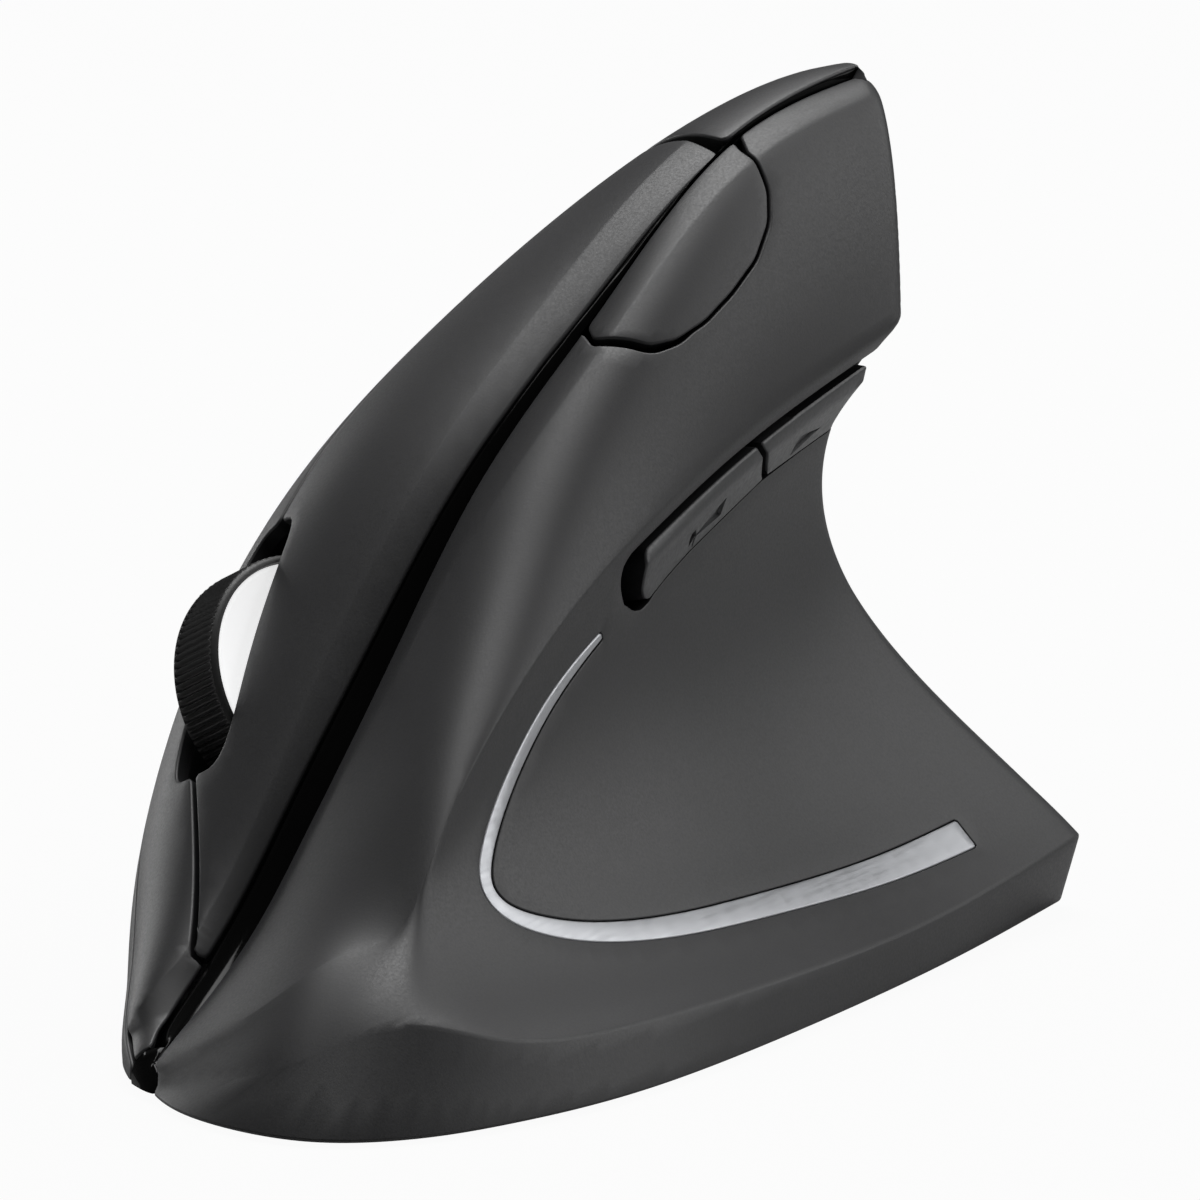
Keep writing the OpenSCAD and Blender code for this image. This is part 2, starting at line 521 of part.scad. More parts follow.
// Parts of the base
module base_plate() {
    color(dark) difference() {
        union() {
            translate([0, 0, foot_t]) linear_extrude(floor_t) base_shape();
            translate([dongle_x - pocket_w / 2, dongle_y - pocket_l / 2, foot_t])
                cube([pocket_w, pocket_l, dongle_h + fit + pocket_t]);
            for (x = spacer_x, y = spacer_y) translate([x, y, floor_z - spacer_sink])
                cylinder(d = spacer_d, h = main_z - floor_z + spacer_sink, $fn = 24);
        }
        translate([dongle_x - dongle_w / 2 - fit, dongle_y - dongle_l / 2 - fit, 0])
            cube([dongle_w + 2 * fit, dongle_l + 2 * fit, foot_t + dongle_h + fit]);
        translate([cell_x - bay_w / 2 + 0.5 - fit, bay_y + 1 - fit, 0])
            cube([door_w + 2 * fit, bay_l - 2 + 2 * fit, floor_z + 1]);
        translate([eye_x - lens_hole / 2, eye_y - lens_hole / 2, 0])
            cube([lens_hole, lens_hole, floor_z + 1]);
        translate([power_x - (knob_w + power_travel) / 2 - fit, power_y - knob_w / 2 - fit, 0])
            cube([knob_w + power_travel + 2 * fit, knob_w + 2 * fit, floor_z + 1]);
        for (s = screw_spots) translate([s.x, s.y, 0]) {
            cylinder(d = screw_d + 2 * run_gap, h = floor_z + 1, $fn = 24);
            cylinder(d = screw_head_d + 2 * fit, h = foot_t + screw_head_h, $fn = 32);
        }
    }
}
module glide_feet() {
    color([0.1, 0.1, 0.1]) for (f = foot_spots) translate([f[0], f[1], 0]) rotate(f[3]) {
        translate([-f[2] / 2, -foot_w / 2, 0]) cube([f[2], foot_w, foot_t]);
        for (s = [-1, 1]) translate([s * f[2] / 2, 0, 0]) cylinder(d = foot_w, h = foot_t, $fn = 32);
    }
}
module base_screws() {
    color(silver) for (s = screw_spots) translate([s.x, s.y, foot_t + 0.1]) {
        cylinder(d = screw_head_d, h = screw_head_h - 0.1, $fn = 32);
        cylinder(d = screw_d, h = s.z, $fn = 24);
    }
}

// Shells
module thumb_shell() {
    color(charcoal) panel(thumb, -1, thumb_us, thumb_lines, function (u, v) 0, thumb_wall_at, thumb_cell,
        accent_cell, accent_h);
}
module palm_shell() {
    color(charcoal) panel(palm, 1, palm_us, palm_lines, function (u, v) 0,
        function (u, v) palm_wall(wall, u, v), function (i, j) j >= j_side + 1 || i > i_hinge);
}
module spine_strip() {
    color(gloss) tube([for (u = spread(u_nose / u_top + 0.01, 0.975, 36)) let (
            w = u * u_top,
            b = palm(w, max(strip_v(w) - seam / rib_speed(w), 0.004)),
            n = unit(normal(thumb, -1, u, 0.01) + normal(palm, 1, w, 0.01)),
            deep = strip_h * min(1, 0.3 + 4 * u),
            a = mix(thumb(u, 0), b, 0.26))
        [a - 0.3 * n, b - 0.3 * n, mix(b, a, 0.3) - deep * n, mix(a, b, 0.3) - deep * n]]);
}
module nose_cap() {
    color(dark) hull() tube([for (u = spread(0.006, u_nose / u_top - 0.008, 4)) let (w = u * u_top)
        [thumb(u, 0), thumb(u, v_crease), thumb(u, v_lip), thumb(u, 1),
            palm(w, 1), palm(w, 0.66), palm(w, 0.33)]]);
}
module silver_accent() {
    color(silver) panel(thumb, -1, thumb_us, thumb_lines, function (u, v) 0, function (u, v) accent_h,
        accent_cell);
}

// Buttons
module left_button() {
    color(charcoal) union() {
        panel(palm, 1, palm_us, palm_lines, button_top, function (u, v) palm_wall(button_t, u, v),
            function (i, j) j < j_low && i >= i_front && i < i_hinge);
        rib(wheel_frame, palm, switch_x, switch_y, [wheel_u - 0.03, 0.2], switch_top + plunger_h, 1);
    }
}
module right_button() {
    color(charcoal) union() {
        panel(palm, 1, palm_us, palm_lines, button_top, function (u, v) palm_wall(button_t, u, v),
            function (i, j) j < j_side && i < i_hinge && (i < i_front - 1 || j > j_low));
        rib(wheel_frame, palm, -switch_x, switch_y, [wheel_u - 0.03, 0.55], switch_top + plunger_h, 1);
    }
}
module dpi_button() {
    color(charcoal) union() {
        panel(thumb, -1, thumb_us, thumb_lines, function (u, v) 0, thumb_wall_at,
            function (i, j) j < j_dpi && i >= i_dpi && i < i_dpi_end);
        rib(dpi_frame, thumb, 0, 0, dpi_uv, dpi_depth, 1);
    }
}
module thumb_key(first, last, y, q) {
    color(dark) union() {
        panel(thumb, -1, thumb_us, thumb_lines, function (u, v) thumb_proud, function (u, v) wall,
            function (i, j) j > j_keys && j < j_keys + 3 && i >= first && i < last);
        rib(key_frame, thumb, 0, y, q, key_depth, 1);
    }
}
module forward_button() { thumb_key(i_keys, i_gap, forward_y, [0.79, 0.473]); }
module back_button() { thumb_key(i_gap + 1, i_keys_end, back_y, [0.93, 0.473]); }

// Wheel
module wheel_tyre() {
    edge = 0.6;
    color([0.05, 0.05, 0.05]) place(wheel_frame) rotate([0, 90, 0]) rotate_extrude($fn = 96) polygon([
        [rim_d / 2, -wheel_w / 2], [wheel_d / 2 - edge, -wheel_w / 2], [wheel_d / 2, -wheel_w / 2 + edge],
        [wheel_d / 2, wheel_w / 2 - edge], [wheel_d / 2 - edge, wheel_w / 2], [rim_d / 2, wheel_w / 2]]);
}
module wheel_rim() {
    dish = 1.2;
    hub_d = axle_d + 4;
    color(silver) place(wheel_frame) rotate([0, 90, 0]) rotate_extrude($fn = 96) polygon([
        [axle_d / 2, -wheel_w / 2], [hub_d / 2, -wheel_w / 2], [hub_d / 2 + dish, -wheel_w / 2 + dish],
        [rim_d / 2 - 2, -wheel_w / 2 + dish], [rim_d / 2 - 1.2, -wheel_w / 2], [rim_d / 2, -wheel_w / 2],
        [rim_d / 2, wheel_w / 2], [rim_d / 2 - 1.2, wheel_w / 2], [rim_d / 2 - 2, wheel_w / 2 - dish],
        [hub_d / 2 + dish, wheel_w / 2 - dish], [hub_d / 2, wheel_w / 2], [axle_d / 2, wheel_w / 2]]);
}
module wheel_axle() {
    reach = carrier_x + cheek_t;
    color(silver) place(wheel_frame) translate([-reach - encoder_t + 0.4, 0, 0]) rotate([0, 90, 0])
        cylinder(d = axle_d, h = 2 * reach + encoder_t, $fn = 32);
}
module wheel_carrier() {
    arm_low = board_top + tact_h + plunger_h + nub_gap;
    color(dark) place(wheel_frame) difference() {
        union() {
            for (s = [-1, 1]) translate([s > 0 ? carrier_x : -carrier_x - cheek_t, -cheek_w / 2, bar_low])
                cube([cheek_t, cheek_w, -bar_low + axle_d / 2 + 1.6]);
            translate([-carrier_x - cheek_t, -cheek_w / 2, bar_low])
                cube([2 * (carrier_x + cheek_t), cheek_w, bar_t]);
            translate([carrier_x, click_y - 2, arm_low]) cube([click_x + 2 - carrier_x, 4, 1.5]);
        }
        translate([-carrier_x - cheek_t - 1, 0, 0]) rotate([0, 90, 0])
            cylinder(d = axle_d + 2 * run_gap, h = 2 * (carrier_x + cheek_t + 1), $fn = 32);
    }
}
module scroll_encoder() {
    color(switch_black) place(wheel_frame) translate([-carrier_x - cheek_t - encoder_t, 0, 0]) difference() {
        translate([0, -encoder_w / 2, -encoder_low]) cube([encoder_t, encoder_w, encoder_low + encoder_top]);
        translate([-1, 0, 0]) rotate([0, 90, 0])
            cylinder(d = axle_d + 2 * run_gap, h = encoder_t + 2, $fn = 32);
    }
}
// Four posts on the board, between which the cheeks of the carrier slide
module wheel_guide() {
    color(dark) place(wheel_frame) for (x = [-1, 1], y = [-1, 1])
        translate([x > 0 ? carrier_x : -carrier_x - cheek_t,
            y > 0 ? cheek_w / 2 + run_gap : -cheek_w / 2 - run_gap - post_t, board_top])
            cube([cheek_t, post_t, -board_top + axle_d / 2 + 1]);
}

// Frames and boards
module slotted_plate(z, t) {
    difference() {
        translate([-board_x, -board_front, z]) cube([2 * board_x, board_front + board_rear, t]);
        translate([-slot_x, -slot_y, z - 1]) cube([2 * slot_x, 2 * slot_y, t + 2]);
        translate([-carrier_x - cheek_t - fit, -cheek_w / 2 - fit, z - 1])
            cube([2 * (carrier_x + cheek_t + fit), cheek_w + 2 * fit, t + 2]);
    }
}
module button_frame() {
    color(dark) difference() {
        union() {
            place(wheel_frame) slotted_plate(board_low - tray_t, tray_t);
            for (p = legs) translate([p.x, p.y, floor_z])
                cylinder(d = leg_d, h = p.z - floor_z + leg_d, $fn = 32);
            place(wheel_frame) translate(lug) mirror([0, 0, 1]) cylinder(d = lug_d, h = lug_l, $fn = 32);
        }
        place(wheel_frame) translate([-2 * board_x, -2 * board_rear, board_low])
            cube([4 * board_x, 4 * board_rear, 30]);
        translate([mid_x - mid_t / 2, mid_foot[0], floor_z]) cube([lug_l, 2 * lug_l, body_h]);
        screw_holes();
        below_floor(0);
    }
}
module inner_frame() {
    color(dark) difference() {
        union() {
            translate([mid_x - mid_t / 2, 0, 0]) rotate([90, 0, 90]) linear_extrude(mid_t) polygon(concat(
                [[mid_foot[0], floor_z], [mid_foot[1], floor_z], [mid_foot[1], bay_top + box_t],
                    [mid_rear[2].x, bay_top + box_t]], [for (i = [len(mid_top) - 1 : -1 : 0]) mid_top[i]]));
            translate([mid_leg.x, mid_leg.y, floor_z]) cylinder(d = leg_d, h = mid_leg_h, $fn = 32);
            for (y = [forward_y, back_y]) place(key_frame) translate([-5, y, mid_x])
                cylinder(d = 3, h = key_board - board_t - mid_x, $fn = 24);
            place(dpi_frame) translate([0, 0, dpi_board_top - board_t - 7]) cylinder(d = 4, h = 7, $fn = 24);
        }
        screw_holes();
    }
}
module finger_board() {
    color(board_green) difference() {
        place(wheel_frame) slotted_plate(board_low, board_t);
        below_floor(fit);
    }
}
module thumb_board() {
    low = forward_y - tact_w / 2 - 2;
    high = back_y + tact_w / 2 + 2;
    color(board_green) place(key_frame) translate([-7, low, key_board - board_t])
        cube([11, high - low, board_t]);
}
module dpi_board() {
    color(board_green) place(dpi_frame)
        translate([-dpi_board_w / 2, -dpi_board_w / 2, dpi_board_top - board_t])
        cube([dpi_board_w, dpi_board_w, board_t]);
}
module main_board() {
    color(board_green) translate([0, 0, main_z]) linear_extrude(board_t) intersection() {
        translate([main_x[0], main_y[0]]) square([main_x[1] - main_x[0], main_y[1] - main_y[0]]);
        offset(delta = -6) base_shape();
    }
}

// Switches
module main_switch(x) {
    color(switch_black) switch_body(wheel_frame, x, switch_y, board_top, [switch_w, switch_l, switch_h]);
}
module left_switch() { main_switch(switch_x); }
module right_switch() { main_switch(-switch_x); }
module wheel_switch() { color(switch_black) push_switch(wheel_frame, click_x, click_y, board_top); }
module forward_switch() { color(switch_black) push_switch(key_frame, 0, forward_y, key_board); }
module back_switch() { color(switch_black) push_switch(key_frame, 0, back_y, key_board); }
module dpi_switch() { color(switch_black) push_switch(dpi_frame, 0, 0, dpi_board_top); }
module left_plunger() { color(plunger_red) plunger(wheel_frame, switch_x, switch_y, switch_top); }
module right_plunger() { color(plunger_red) plunger(wheel_frame, -switch_x, switch_y, switch_top); }
module wheel_plunger() { color(plunger_red) plunger(wheel_frame, click_x, click_y, board_top + tact_h); }
module forward_plunger() { color(plunger_red) plunger(key_frame, 0, forward_y, key_board + tact_h); }
module back_plunger() { color(plunger_red) plunger(key_frame, 0, back_y, key_board + tact_h); }
module dpi_plunger() { color(plunger_red) plunger(dpi_frame, 0, 0, dpi_board_top + tact_h); }

// Electronics on the main board
module optical_sensor() {
    color(switch_black) translate([eye_x - eye_w / 2, eye_y - eye_l / 2, main_z + board_t])
        cube([eye_w, eye_l, eye_h]);
}
module sensor_lens() {
    color([0.8, 0.85, 0.9, 0.5]) union() {
        translate([eye_x - eye_w / 2, eye_y - eye_l / 2, floor_z]) cube([eye_w, eye_l, main_z - floor_z]);
        translate([eye_x, eye_y, foot_t + 0.6]) cylinder(d = lens_hole - 1, h = floor_z - foot_t, $fn = 32);
    }
}
module processor_chip() {
    color(switch_black) translate([eye_x + 6.7, eye_y - chip_w / 2 - 1.2, main_z + board_t])
        cube([chip_w, chip_w, 1]);
}
// Flat cable through points, each with its half width as a vector
module ribbon(points, sides) {
    n = len(points) - 1;
    path = curve(points);
    across = curve(sides);
    color([0.85, 0.85, 0.82]) tube([for (i = [0 : 2 * n]) let (
            t = i / (2 * n), p = at(path, t), w = at(across, t),
            d = unit(cross(at(path, t + 0.02) - at(path, t - 0.02), w)) * ribbon_t / 2)
        [p + w - d, p - w - d, p - w + d, p + w + d]]);
}
ribbon_t = 0.4;
ribbon_w = 5;
main_top = main_z + board_t;
module finger_ribbon() {
    x = -4;
    y = -board_front;
    half = ribbon_w / 2;
    run = wheel_frame[1] * half;
    ribbon([world(wheel_frame, [x, y + 2.5, board_top + 0.3]),
        world(wheel_frame, [x, y - 0.5, board_top + 0.5]), world(wheel_frame, [x, y - 2.5, board_top - 0.6]),
        [-5, main_y[1] - 1, main_top + 1],
        [-5, main_y[1] - 4, main_top + 0.3]], [run, run, run, [half, 0, 0], [half, 0, 0]]);
}
module thumb_ribbon() {
    half = ribbon_w / 2;
    run = key_frame[2] * half;
    ribbon_x = eye_x + eye_w / 2 + half + 0.4;
    top = world(key_frame, [-5, forward_y - 1.5, key_board + 0.3]);
    ribbon([top, top - 6 * key_frame[1] + [0.2, 0, 0], [7.5, 0, 22], [9, -9, 13],
        [ribbon_x, main_y[1] + 5, main_top + 3],
        [ribbon_x, main_y[1] - 1, main_top + 0.8], [ribbon_x, main_y[1] - 4, main_top + 0.3]],
        [run, run, 0.8 * run + [0.5, 0, 0], [half * 0.7, 1.2, 0], [half, 0, 0], [half, 0, 0], [half, 0, 0]]);
}
module power_switch() {
    color(switch_black) translate([power_x - power_w / 2, power_y - 2, floor_z + 0.1])
        cube([power_w, 4, main_z - floor_z - 0.1]);
}
module power_knob() {
    color([0.15, 0.15, 0.16])
        translate([power_x - (knob_w + power_travel) / 2, power_y - knob_w / 2, foot_t + 0.2])
        cube([knob_w, knob_w, floor_t - 0.2]);
}

// Power
module bay(half, y, l, low, top) {
    translate([cell_x, y + l, 0]) rotate([90, 0, 0]) linear_extrude(l) polygon([[-half, low], [half, low],
        [half, top - bay_bevel], [half - bay_bevel, top], [bay_bevel - half, top], [-half, top - bay_bevel]]);
}
module battery_box() {
    color(dark) difference() {
        bay(bay_w / 2 + box_t, bay_y - box_t, bay_l + 2 * box_t, floor_z, bay_top + box_t);
        bay(bay_w / 2, bay_y, bay_l, floor_z - 1, bay_top);
        translate([cell_x + tongue_x - tongue_w / 2 - fit, bay_y - box_t - 1, floor_z - 1])
            cube([tongue_w + 2 * fit, box_t + 2, 2 + tongue_t + fit]);
    }
}
module battery_cells() {
    tip = 0.8;
    for (s = [-1, 1]) translate([cell_x + s * cell_pitch / 2, bay_y + bay_l / 2, cell_z])
        rotate([s * 90, 0, 0]) translate([0, 0, -cell_l / 2]) {
            color([0.25, 0.35, 0.3]) cylinder(d = cell_d, h = cell_l - tip, $fn = 48);
            color(silver) translate([0, 0, cell_l - tip]) cylinder(d = 3.8, h = tip, $fn = 32);
        }
}
module battery_contacts() {
    plate = 7.4;
    color(copper) for (s = [-1, 1], e = [-1, 1])
        translate([cell_x + s * cell_pitch / 2, bay_y + bay_l / 2 + e * bay_l / 2, cell_z])
            rotate([-e * 90, 0, 0]) translate([0, 0, -contact_t - contact_h + 0.1]) {
                translate([-plate / 2, -plate / 2, contact_h - 0.1]) cube([plate, plate, contact_t]);
                cylinder(d1 = 3, d2 = 6, h = contact_h - 0.1, $fn = 32);
            }
}
module battery_door() {
    color(dark) translate([cell_x, bay_y + 1, foot_t + 0.1]) {
        translate([-door_w / 2, 0, 0]) cube([door_w, door_l, door_t]);
        translate([tongue_x - tongue_w / 2, 0, 0]) cube([tongue_w, tongue_l, floor_t + tongue_t]);
        translate([tongue_x - tongue_w / 2, -tongue_l, floor_t]) cube([tongue_w, tongue_l + 1, tongue_t]);
    }
}
module usb_receiver() {
    plug_w = 12;
    plug_h = 4.5;
    cap_l = 6.5;
    translate([dongle_x, dongle_y - dongle_l / 2, foot_t + dongle_h / 2]) {
        color(dark) translate([-dongle_w / 2, 0, -dongle_h / 2]) cube([dongle_w, cap_l, dongle_h]);
        color(silver) translate([-plug_w / 2, cap_l, -plug_h / 2]) cube([plug_w, dongle_l - cap_l, plug_h]);
    }
}

base_plate();
glide_feet();
base_screws();
thumb_shell();
palm_shell();
spine_strip();
silver_accent();
nose_cap();
left_button();
right_button();
dpi_button();
forward_button();
back_button();
wheel_tyre();
wheel_rim();
wheel_axle();
wheel_carrier();
wheel_guide();
scroll_encoder();
inner_frame();
button_frame();
finger_board();
thumb_board();
dpi_board();
main_board();
left_switch();
right_switch();
wheel_switch();
forward_switch();
back_switch();
dpi_switch();
left_plunger();
right_plunger();
wheel_plunger();
forward_plunger();
back_plunger();
dpi_plunger();
optical_sensor();
sensor_lens();
processor_chip();
finger_ribbon();
thumb_ribbon();
battery_box();
battery_cells();
battery_contacts();
battery_door();
usb_receiver();
power_switch();
power_knob();
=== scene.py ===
"""Looks of a vertical wireless mouse for the right hand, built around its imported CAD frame."""
import json
import math

import bpy
import numpy as np
from mathutils import Matrix, Vector, kdtree
from mathutils.geometry import delaunay_2d_cdt


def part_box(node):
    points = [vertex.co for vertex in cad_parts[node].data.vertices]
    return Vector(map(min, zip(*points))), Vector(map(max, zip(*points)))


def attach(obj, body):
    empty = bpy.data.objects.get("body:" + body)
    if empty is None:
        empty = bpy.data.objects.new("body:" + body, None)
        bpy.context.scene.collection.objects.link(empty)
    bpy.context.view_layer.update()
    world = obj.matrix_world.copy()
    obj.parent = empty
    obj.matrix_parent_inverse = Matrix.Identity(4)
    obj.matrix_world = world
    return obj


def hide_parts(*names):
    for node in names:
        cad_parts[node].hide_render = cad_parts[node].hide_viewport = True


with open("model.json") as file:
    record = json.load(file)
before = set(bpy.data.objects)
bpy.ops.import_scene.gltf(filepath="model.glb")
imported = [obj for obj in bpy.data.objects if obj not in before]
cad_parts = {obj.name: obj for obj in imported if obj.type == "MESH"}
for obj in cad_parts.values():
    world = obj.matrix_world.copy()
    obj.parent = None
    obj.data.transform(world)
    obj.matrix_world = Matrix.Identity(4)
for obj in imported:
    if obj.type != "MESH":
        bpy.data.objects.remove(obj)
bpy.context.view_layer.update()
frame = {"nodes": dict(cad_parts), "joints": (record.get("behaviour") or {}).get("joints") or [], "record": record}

# Sizes in millimetres; the frame itself is in metres
MM = 0.001
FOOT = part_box("glide_feet")[1].z / MM
WALL = 2.0
THUMB_WALL = 1.5
BUTTON_WALL = 1.8
RIGHT_WALL = 1.3
DPI_WALL = 0.9
DPI_GAP = 0.12
ACCENT_WALL = 0.9
SEAM = 0.5
STRIP_W = 2.7
STRIP_H = 1.3
WHEEL_R = 11.0
WHEEL_W = 6.0
RIM_R = 10.2
SLOT_HALF = WHEEL_W / 2 + 0.45

# Share by which the surfaces run on past their ends
REACH = 0.02

# Shares of the length and of a rib at which seams lie, mostly as in the CAD source
V_CREASE = 0.42
V_LIP = 0.9
U_TOP = 8 / 11
U_NOSE = 0.03
U_FRONT = 0.14
U_HINGE = 0.64
U_SLOT = (0.274, 0.42)
U_GAP = 0.004
V_SIDE = 0.7
V_SPLIT = 0.39
SPLIT_SLOPE = 1.6


# Surfaces of the shell

# Shift that sets the middle of the body over the origin and its foot on the glide feet
RAIL_SHIFT = np.array([0.225, 0.04, FOOT])


class Curve:
    """Smooth curve through equally spaced points, from share 0 to share 1 and a little beyond."""

    def __init__(self, points):
        self.points = np.array(points, float)
        self.last = len(points) - 1
        system = np.eye(self.last + 1)
        bends = np.zeros_like(self.points)
        for i in range(1, self.last):
            system[i, i - 1:i + 2] = 1, 4, 1
            bends[i] = 6 * (self.points[i - 1] - 2 * self.points[i] + self.points[i + 1])
        self.bends = np.linalg.solve(system, bends)

    def __call__(self, share):
        x = np.asarray(share, float) * self.last
        i = np.clip(x.astype(int), 0, self.last - 1)
        w = (x - i)[..., None]
        s = 1 - w
        p, m = self.points, self.bends
        return s * p[i] + w * p[i + 1] + ((w ** 3 - w) * m[i + 1] + (s ** 3 - s) * m[i]) / 6


def rail(*points):
    return Curve(np.array(points, float) + RAIL_SHIFT)


# Rails of the thumb side, from the nose to the rear edge
SPINE = rail((-6.5, -49, 2), (-5.5, -42.5, 6), (-4.5, -34.5, 12), (-3.2, -26.5, 21), (-1.2, -17, 32),
             (1.5, -5.5, 45), (4.8, 9, 57), (7.5, 27, 69), (11.4, 46.4, 74))
BROW = rail((-6.2, -49.3, 1.7), (-0.5, -47, 7), (4, -42, 13), (7, -36, 19.5), (8, -25, 30.5),
            (9, -11, 43), (11, 3, 53.5), (14.5, 21, 63), (16.4, 43.3, 72.4))
CREASE = rail((-6, -49.6, 1.4), (4, -49, 8), (9, -45, 12), (13, -41, 14.5), (13, -32, 23),
              (13, -14, 34.5), (14, 3, 42), (16, 19, 48), (19.7, 37.4, 53.6))
SCOOP_TOP = rail((-5.8, -49.9, 1.1), (5, -51, 6.5), (10.2, -48.5, 10), (14.5, -44, 12.5), (13, -34, 16),
                 (11.5, -15, 24), (10.5, 1.5, 29), (8, 17, 32), (2, 30.7, 33.7))
SCOOP_LOW = rail((-5.7, -50.1, 0.9), (5.5, -53, 5), (11.2, -51, 8), (16.5, -47, 10), (18, -38, 9),
                 (18, -22, 9), (18, 0, 11), (18.5, 23, 12), (21.5, 48.2, 17))
LIP = rail((-5.5, -50.4, 0.6), (6, -54.5, 3.5), (12, -53, 6), (18, -49, 8), (24.5, -42, 6),
           (28.5, -26, 5), (30.5, 0, 4.5), (30.5, 26, 4.5), (29.7, 53.2, 6.1))
THUMB_BASE = rail((-5.5, -50.8, 0), (2, -56.5, 0), (13, -59, 0), (21, -54, 0), (26, -45, 0),
                  (30, -28, 0), (31, 0, 0), (30, 28, 0), (27.5, 54, 0))
# Rails of the palm side, from the nose round the finger side and the tail
PALM_HIGH = rail((-7.4, -48.7, 1.8), (-10.9, -43.3, 7.2), (-14.2, -34.3, 15), (-16.7, -24.8, 25.5),
                 (-18.7, -14.2, 39.6), (-17.4, -2.1, 52.4), (-13.8, 13.1, 63.2), (-7.6, 31.1, 72.4),
                 (2, 50, 77.5), (4, 44, 56), (3, 46, 33), (26, 53, 4))
PALM_LOW = rail((-7.6, -49.9, 0.6), (-13.2, -43.4, 4), (-19, -33, 9.5), (-26, -22, 18), (-31.4, -8.2, 27.8),
                (-34.4, 8.9, 38.4), (-32.6, 28.1, 46.5), (-24.6, 48.1, 52.5), (-10, 60, 52), (-4, 57, 34),
                (12, 60, 14), (27.5, 54, 2))
PALM_BASE = rail((-7.2, -50.4, 0), (-12.6, -43.3, 0), (-17.5, -34, 0), (-22.5, -23.5, 0), (-27, -10, 0),
                 (-30.5, 8, 0), (-30.5, 28, 0), (-24, 46, 0), (-10, 56, 0), (8, 59, 0), (20, 57.5, 0),
                 (27.5, 54, 0))


def bez2(a, b, c, t):
    return (1 - t) ** 2 * a + 2 * t * (1 - t) * b + t * t * c


def bez3(a, b, c, d, t):
    return (1 - t) * bez2(a, b, c, t) + t * bez2(b, c, d, t)


def thumb_sharp(u, v):
    """Thumb side with its crease and its lip as sharp lines."""
    u, v = np.broadcast_arrays(np.asarray(u, float), np.asarray(v, float))
    w = v[..., None]
    lip, crease = LIP(u), CREASE(u)
    upper = bez2(SPINE(u), BROW(u), crease, w / V_CREASE)
    scoop = bez3(crease, SCOOP_TOP(u), SCOOP_LOW(u), lip, (w - V_CREASE) / (V_LIP - V_CREASE))
    skirt = lip + (THUMB_BASE(u) - lip) * (w - V_LIP) / (1 - V_LIP)
    return np.where(w <= V_CREASE, upper, np.where(w <= V_LIP, scoop, skirt))


# Half of the share of a rib over which the crease and the lip are rounded
FILLET = 0.005
FILLET_WEIGHTS = np.array([0.5, 1, 1, 1, 1, 1, 0.5]) / 6


def thumb_point(u, v):
    """Thumb side with its crease and its lip rounded."""
    u, v = np.broadcast_arrays(np.asarray(u, float), np.asarray(v, float))
    reach = np.minimum(FILLET, np.maximum(np.minimum(v, 1 - v), 0))
    offsets = np.linspace(-1, 1, len(FILLET_WEIGHTS))
    return sum(w * thumb_sharp(u, v + o * reach) for o, w in zip(offsets, FILLET_WEIGHTS))


def palm_top(u):
    rear = np.maximum(u - U_TOP, 0) / (1 - U_TOP)
    return np.where((u <= U_TOP)[..., None], SPINE(u / U_TOP), thumb_sharp(np.ones_like(u), rear))


def palm_point(u, v):
    u, v = np.broadcast_arrays(np.asarray(u, float), np.asarray(v, float))
    return bez3(palm_top(u), PALM_HIGH(u), PALM_LOW(u), PALM_BASE(u), v[..., None])


def unit(vectors):
    return vectors / np.linalg.norm(vectors, axis=-1, keepdims=True)


class Side:
    """One side of the shell: points over u, nose to tail, and v, spine to base.

    The turn makes its normals point outward, and inner faces use the wide step for theirs.
    """

    def __init__(self, point, turn, wide):
        self.point, self.turn, self.wide = point, turn, wide
        self.us = np.linspace(-REACH, 1 + REACH, 251)
        middle = point(self.us, 0.5)
        self.run = np.concatenate([[0], np.cumsum(np.linalg.norm(np.diff(middle, axis=0), axis=1))])
        ribs = point(self.us[:, None], np.linspace(0, 1, 61)[None])
        self.rib = np.linalg.norm(np.diff(ribs, axis=1), axis=2).sum(1)

    def slopes(self, uv, step=0.004):
        u, v = uv.T
        u_high, u_low = np.minimum(u + step, 1 + REACH), np.maximum(u - step, -REACH)
        v_high, v_low = v + step, v - step
        along = (self.point(u_high, v) - self.point(u_low, v)) / (u_high - u_low)[:, None]
        across = (self.point(u, v_high) - self.point(u, v_low)) / (v_high - v_low)[:, None]
        return along, across

    def normal(self, uv, step=0.004):
        along, across = self.slopes(uv, step)
        return self.turn * unit(np.cross(along, across))

    def at(self, uv):
        return self.point(uv[:, 0], uv[:, 1])

    def speed(self, u, v):
        """Millimetres per share of a rib."""
        return np.linalg.norm(self.point(u, v + 0.01) - self.point(u, v - 0.01), axis=-1) / 0.02

    def flat(self, uv):
        """Plane map that keeps lengths roughly, for triangulation."""
        rib = np.interp(uv[:, 0], self.us, self.rib)
        return np.column_stack([np.interp(uv[:, 0], self.us, self.run), (uv[:, 1] - 0.5) * rib])

    def unflat(self, xy):
        u = np.interp(xy[:, 0], self.run, self.us)
        return np.column_stack([u, xy[:, 1] / np.interp(u, self.us, self.rib) + 0.5])

    def shift(self, uv, move):
        """Shares after a small move along the surface, given in millimetres."""
        along, across = self.slopes(uv)
        aa, ac, cc = (along * along).sum(1), (along * across).sum(1), (across * across).sum(1)
        ma, mc = (move * along).sum(1), (move * across).sum(1)
        det = aa * cc - ac * ac
        return uv + np.column_stack([(cc * ma - ac * mc) / det, (aa * mc - ac * ma) / det])


THUMB = Side(thumb_point, -1, 0.22)
PALM = Side(palm_point, 1, 0.12)


# Outlines on the surfaces

